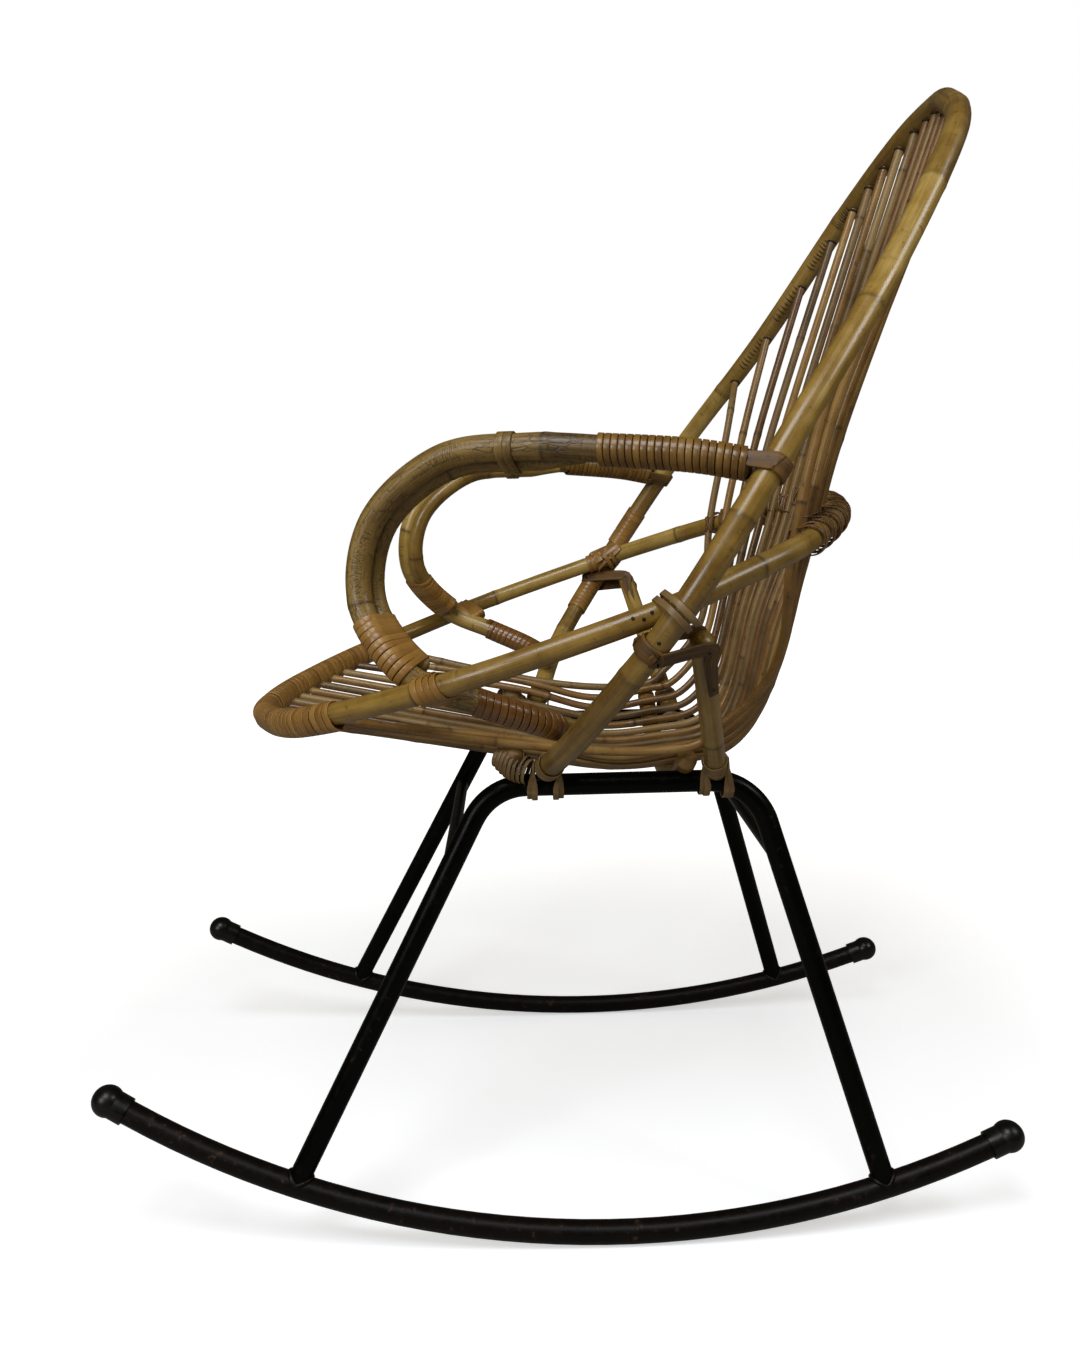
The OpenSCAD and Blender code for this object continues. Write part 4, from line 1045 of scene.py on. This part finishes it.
# Lashings on the base
lashings = {"width": 5.0, "reach": 3.3, "overRail": 1.4, "hoopFoot": 4, "strutFoot": 16,
            "turns": ((0, 0, 0), (1.5, 4.2, 1.2)), "cane": "paleCane"}
footKnot = {"loops": 8, "at": (139, -99, 411), "back": 3.6, "down": 1.9, "axis": (0.42, 0.88, -0.22),
            "radius": 6.5, "width": 3.5, "cane": "paleCane"}
hoopFootDir = unit(hoopPath[6] - hoopPath[0])
legTurn = math.pi / 2 - math.atan2(base["footRear"] - base["railRear"], legReach)
bendFrom = base["railRear"] - base["corner"] * math.tan(legTurn / 2)


def alongRail(y):
    drop = base["corner"] - math.sqrt(base["corner"] ** 2 - max(0, y - bendFrom) ** 2)
    return v3(railX + drop * math.sin(splay), y, railZ - drop * math.cos(splay))


def footTurn(y, q, f, radius, reach, lift):
    # a turn under the rail on both sides of a pole's foot and over the pole
    onRail, onPole = legD / 2 + lashings["overRail"] + caneT / 2 + lift, radius + gap + caneT / 2 + lift
    up = towards(f, v3(0, 0, 1))
    under = circle(v3(1, 0, 0), v3(0, 0, 1), np.radians(np.arange(180, 361, 22.5)))
    around = circle(up, np.cross(up, f), np.radians(np.arange(-90, 91, 22.5)))
    seat = v3(math.cos(math.radians(150)), 0, 0.5)
    a, b, c = alongRail(y - reach), alongRail(y + reach), alongRail(y)
    run = [(a + onRail * o, o) for o in under] + [(q + onPole * o, o) for o in around]
    run += [(b + onRail * o, o) for o in under[::-1]]
    run += [(c + onRail * seat + v3(0, k * reach / 3, 0), seat) for k in (1, -1)]
    facing = [unit(o) for o in loopThrough([o for _, o in run], 4)]
    return closedStrip(loopThrough([p for p, _ in run], 4), facing)


def footKnotLoops():
    # a knot of loops beside the crossbar's end, widest in its middle
    a = unit(v3(*footKnot["axis"]))
    u = towards(a, v3(0, 0, 1))
    faces = circle(u, np.cross(a, u), fullTurn(40))
    made = []
    for k in range(footKnot["loops"]):
        x, y, z = footKnot["at"]
        c = v3(x, y + footKnot["back"] * k, z - footKnot["down"] * k)
        r = footKnot["radius"] + footKnot["radius"] * math.sin(math.pi * (k + 0.8) / 10)
        made.append(closedStrip([c + r * o for o in faces], faces))
    return made


coil, collar = loops["barCoil"], loops["collar"]
coilLine = np.array([v3(x, -bars["front"], barZ(x, bars["sagFront"], frontSeat))
                     for x in range(coil["fromX"], coil["toX"] + 1, 4)])
for side, sign in sides:
    on = asIs if sign > 0 else flipped
    for key, foot, toward, radius, along, name in (
            ("frontLashing_", hoopPath[0], hoopFootDir, hoopHalfD, lashings["hoopFoot"], "front_lashing_"),
            ("rearLashing_", strutFoot, strutAxis, strutHalfD, lashings["strutFoot"], "rear_lashing_")):
        reach = radius + lashings["reach"]
        ties = [footTurn(foot[1], foot + toward * (along + k), toward, radius, reach - t, lift)
                for k, t, lift in lashings["turns"]]
        cane(key + side, on(ties), lashings, (name + side,))
        above = alongPole(np.array([foot, foot + toward * collar["length"]]), radius, collar)
        cane(key + "collar_" + side, on(above), collar)
    cane("barCoil_" + side, on(alongPole(coilLine, bars["d"] / 2, coil)), coil, ("bar_coil_" + side,))
    cane("footKnot_" + side, on(footKnotLoops()), footKnot)
print("base lashings are tied")


# Steel base, and the small dark forms on the hoop: creases, and painted shade round the rod holes
weld = {"girth": 2.1, "uneven": 0.25, "rise": 0.6, "points": 36, "sides": 10}
rim = {"beyond": 0.6, "wider": 0.5, "girth": 0.9, "turn": np.linspace(0, 6.283, 25)[:-1], "sides": 8}
crease = {"between": range(5, 9), "along": (0.22, 0.8), "count": 9, "points": 9, "slip": 0.02, "arc": 0.5,
          "length": (0.6, 1.3), "bow": 1.2, "girth": 0.6, "lift": 0.05, "aim": (-1, -0.3, -0.2), "sides": 6}
tilt = np.array([[math.cos(splay), 0, -math.sin(splay)], [0, 1, 0], [math.sin(splay), 0, math.cos(splay)]])


def weldBead(foot, corner):
    # where a leg's tube meets the rocker's arc
    radius = base["rockerRadius"]
    a = v3(0, foot, radius - math.sqrt(radius ** 2 - foot ** 2))
    toward = unit(v3(0, corner, legReach) - a)
    radial = unit(v3(0, -foot, radius))
    u = towards(toward, v3(1, 0, 0))
    line = []
    for out in circle(u, np.cross(toward, u), fullTurn(weld["points"])):
        o = legD / 2 * out
        rise = math.sqrt(max(0.0, (base["tube"] / 2) ** 2 - o[0] ** 2)) + weld["rise"]
        line.append(a + o + toward * ((rise - o @ radial) / (toward @ radial)))
    return np.array(line) @ tilt.T + [base["halfWidth"], 0, base["tube"] / 2]


beads = []
for side, sign in sides:
    for foot, corner in ((-base["footFront"], -base["railFront"]), (base["footRear"], base["railRear"])):
        spots = weldBead(foot, corner)
        girth = np.array([weld["girth"] + dice.uniform(-weld["uneven"], weld["uneven"]) for _ in spots])
        beads.append({"path": spots if sign > 0 else mirrored(spots), "girth": girth * mm, "closed": True})
swept("weldBeads", beads, poleTree, {"Material": rockerPaint, "Sides": weld["sides"]}, "steel")

# painted shade: a thin dark ring round each rod where it enters its hole in the hoop
rimShades = []
for path in rodPaths:
    heading = unit(path[-1] - path[-2])
    mouth = path[-1] - heading * (rods["holeDepth"] + rim["beyond"])
    u = towards(heading, v3(1, 0, 0.1))
    line = [mouth + (rods["d"] / 2 + rim["wider"]) * o for o in circle(u, np.cross(heading, u), rim["turn"])]
    rimShades.append({"path": np.array(line), "girth": np.full(len(line), rim["girth"] * mm), "closed": True})


def creaseLine(low, high, t):
    c = lerp(low, high, t + dice.uniform(-crease["slip"], crease["slip"]))
    near = np.linalg.norm(hoopSide - c, axis=1).argmin()
    c, f = hoopSide[near], unit(hoopSide[near + 1] - hoopSide[near - 1])
    c = c + f * ((lerp(low, high, t) - c) @ f)
    u = towards(f, v3(*crease["aim"]))
    arc = np.linspace(-crease["arc"], crease["arc"], crease["points"]) * dice.uniform(*crease["length"])
    return np.array([c + (hoopHalfD + crease["lift"]) * o + f * crease["bow"] * abs(w)
                     for w, o in zip(arc, circle(u, np.cross(f, u), arc))])


creases = []
fade = np.sin(np.linspace(0.25, math.pi - 0.25, crease["points"]))
for side, sign in sides:
    for k in crease["between"]:
        low, high = (crossing(hoopUpper, 0, rods["topWidth"] / 2 * q / rods["pairs"])[0] for q in (k + 1, k))
        for t in np.linspace(*crease["along"], crease["count"]):
            line = creaseLine(low, high, t)
            line = line if sign > 0 else mirrored(line)
            creases.append({"path": line, "girth": crease["girth"] * mm * fade})
swept("hoopCreases", creases, poleTree, {"Material": holeDark, "Sides": crease["sides"]}, "pole_cane")
swept("holeRimShade", rimShades, poleTree, {"Material": holeDark, "Sides": rim["sides"]}, "pole_cane")

for node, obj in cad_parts.items():
    paint = None
    if node.startswith("rocker"):
        paint = rockerPaint
    elif node.startswith(("leg_hoop", "front_stretcher", "rear_stretcher")):
        paint = legPaint
    elif node.startswith("cap"):
        paint = capRubber
    if paint:
        obj.data.materials.clear()
        obj.data.materials.append(paint)
print("base is painted")


# Floor and light
floorLook = {"size": 14, "bounce": (0.3, 0.3, 0.3, 1), "seen": (0.86, 0.9, 0.98, 1), "fadeFrom": 0.55,
             "fadeTo": 1.5, "lift": 0.5}
room = {"tint": (1, 0.87, 0.64, 1), "white": (1, 1, 1, 1), "strength": 0.2, "lessInReflections": 0.14,
        "forCamera": 0.8}
lights = {"keyLight": {"at": (1.3, -0.5, 2.5), "aim": (0, 0.05, 0.5), "size": 1.1, "power": 26},
          "frontLight": {"at": (2.0, -1.6, 1.5), "aim": (0, 0, 0.5), "size": 0.9, "power": 18},
          "backLight": {"at": (0.9, 1.7, 1.9), "aim": (0, 0.1, 0.6), "size": 0.7, "power": 11}}


def makeFloor():
    bpy.ops.mesh.primitive_plane_add(size=floorLook["size"], location=(0, 0, 0))
    floor = bpy.context.object
    floor.name = "studioFloor"
    material, tree, shader, add = newMaterial("paleFloor", 0.9, 0.0, 0.03, 0.1)
    seen = add("ShaderNodeLightPath").outputs["Is Camera Ray"]
    tree.links.new(mixColour(add, seen, floorLook["bounce"], floorLook["seen"]), shader.inputs["Base Color"])
    spot = add("ShaderNodeTexCoord").outputs["Object"]
    away = add("ShaderNodeVectorMath", {"Vector": spot}, operation="LENGTH").outputs["Value"]
    far = remap(add, away, floorLook["fadeFrom"], floorLook["fadeTo"])
    # the lit floor is lifted to white for the camera alone, and fades to plain white away from the chair
    lift = plus(add, times(add, far, floorLook["lift"]), floorLook["lift"])
    tree.links.new(times(add, lift, seen), shader.inputs["Emission Strength"])
    shader.inputs["Emission Color"].default_value = (1, 1, 1, 1)
    floor.data.materials.append(material)


def makeWorld():
    world = bpy.data.worlds.new("studioWorld")
    bpy.context.scene.world = world
    world.use_nodes = True
    tree = world.node_tree
    add = adder(tree)
    path = add("ShaderNodeLightPath").outputs
    seen = path["Is Camera Ray"]
    back = tree.nodes["Background"]
    tree.links.new(mixColour(add, seen, room["tint"], room["white"]), back.inputs["Color"])
    # white behind the chair for the camera, a dim room for all else and a dimmer one in reflections
    dim = minus(add, room["strength"], times(add, path["Is Glossy Ray"], room["lessInReflections"]))
    tree.links.new(plus(add, times(add, seen, room["forCamera"]), dim), back.inputs["Strength"])


def makeLights():
    for name, look in lights.items():
        data = bpy.data.lights.new(name, "AREA")
        data.size, data.energy = look["size"], look["power"]
        lamp = bpy.data.objects.new(name, data)
        lamp.location = look["at"]
        lamp.rotation_euler = (Vector(look["aim"]) - Vector(look["at"])).to_track_quat("-Z", "Y").to_euler()
        bpy.context.scene.collection.objects.link(lamp)


makeFloor()
makeWorld()
makeLights()
bpy.context.scene.view_settings.view_transform = "Standard"
print("stage is lit")
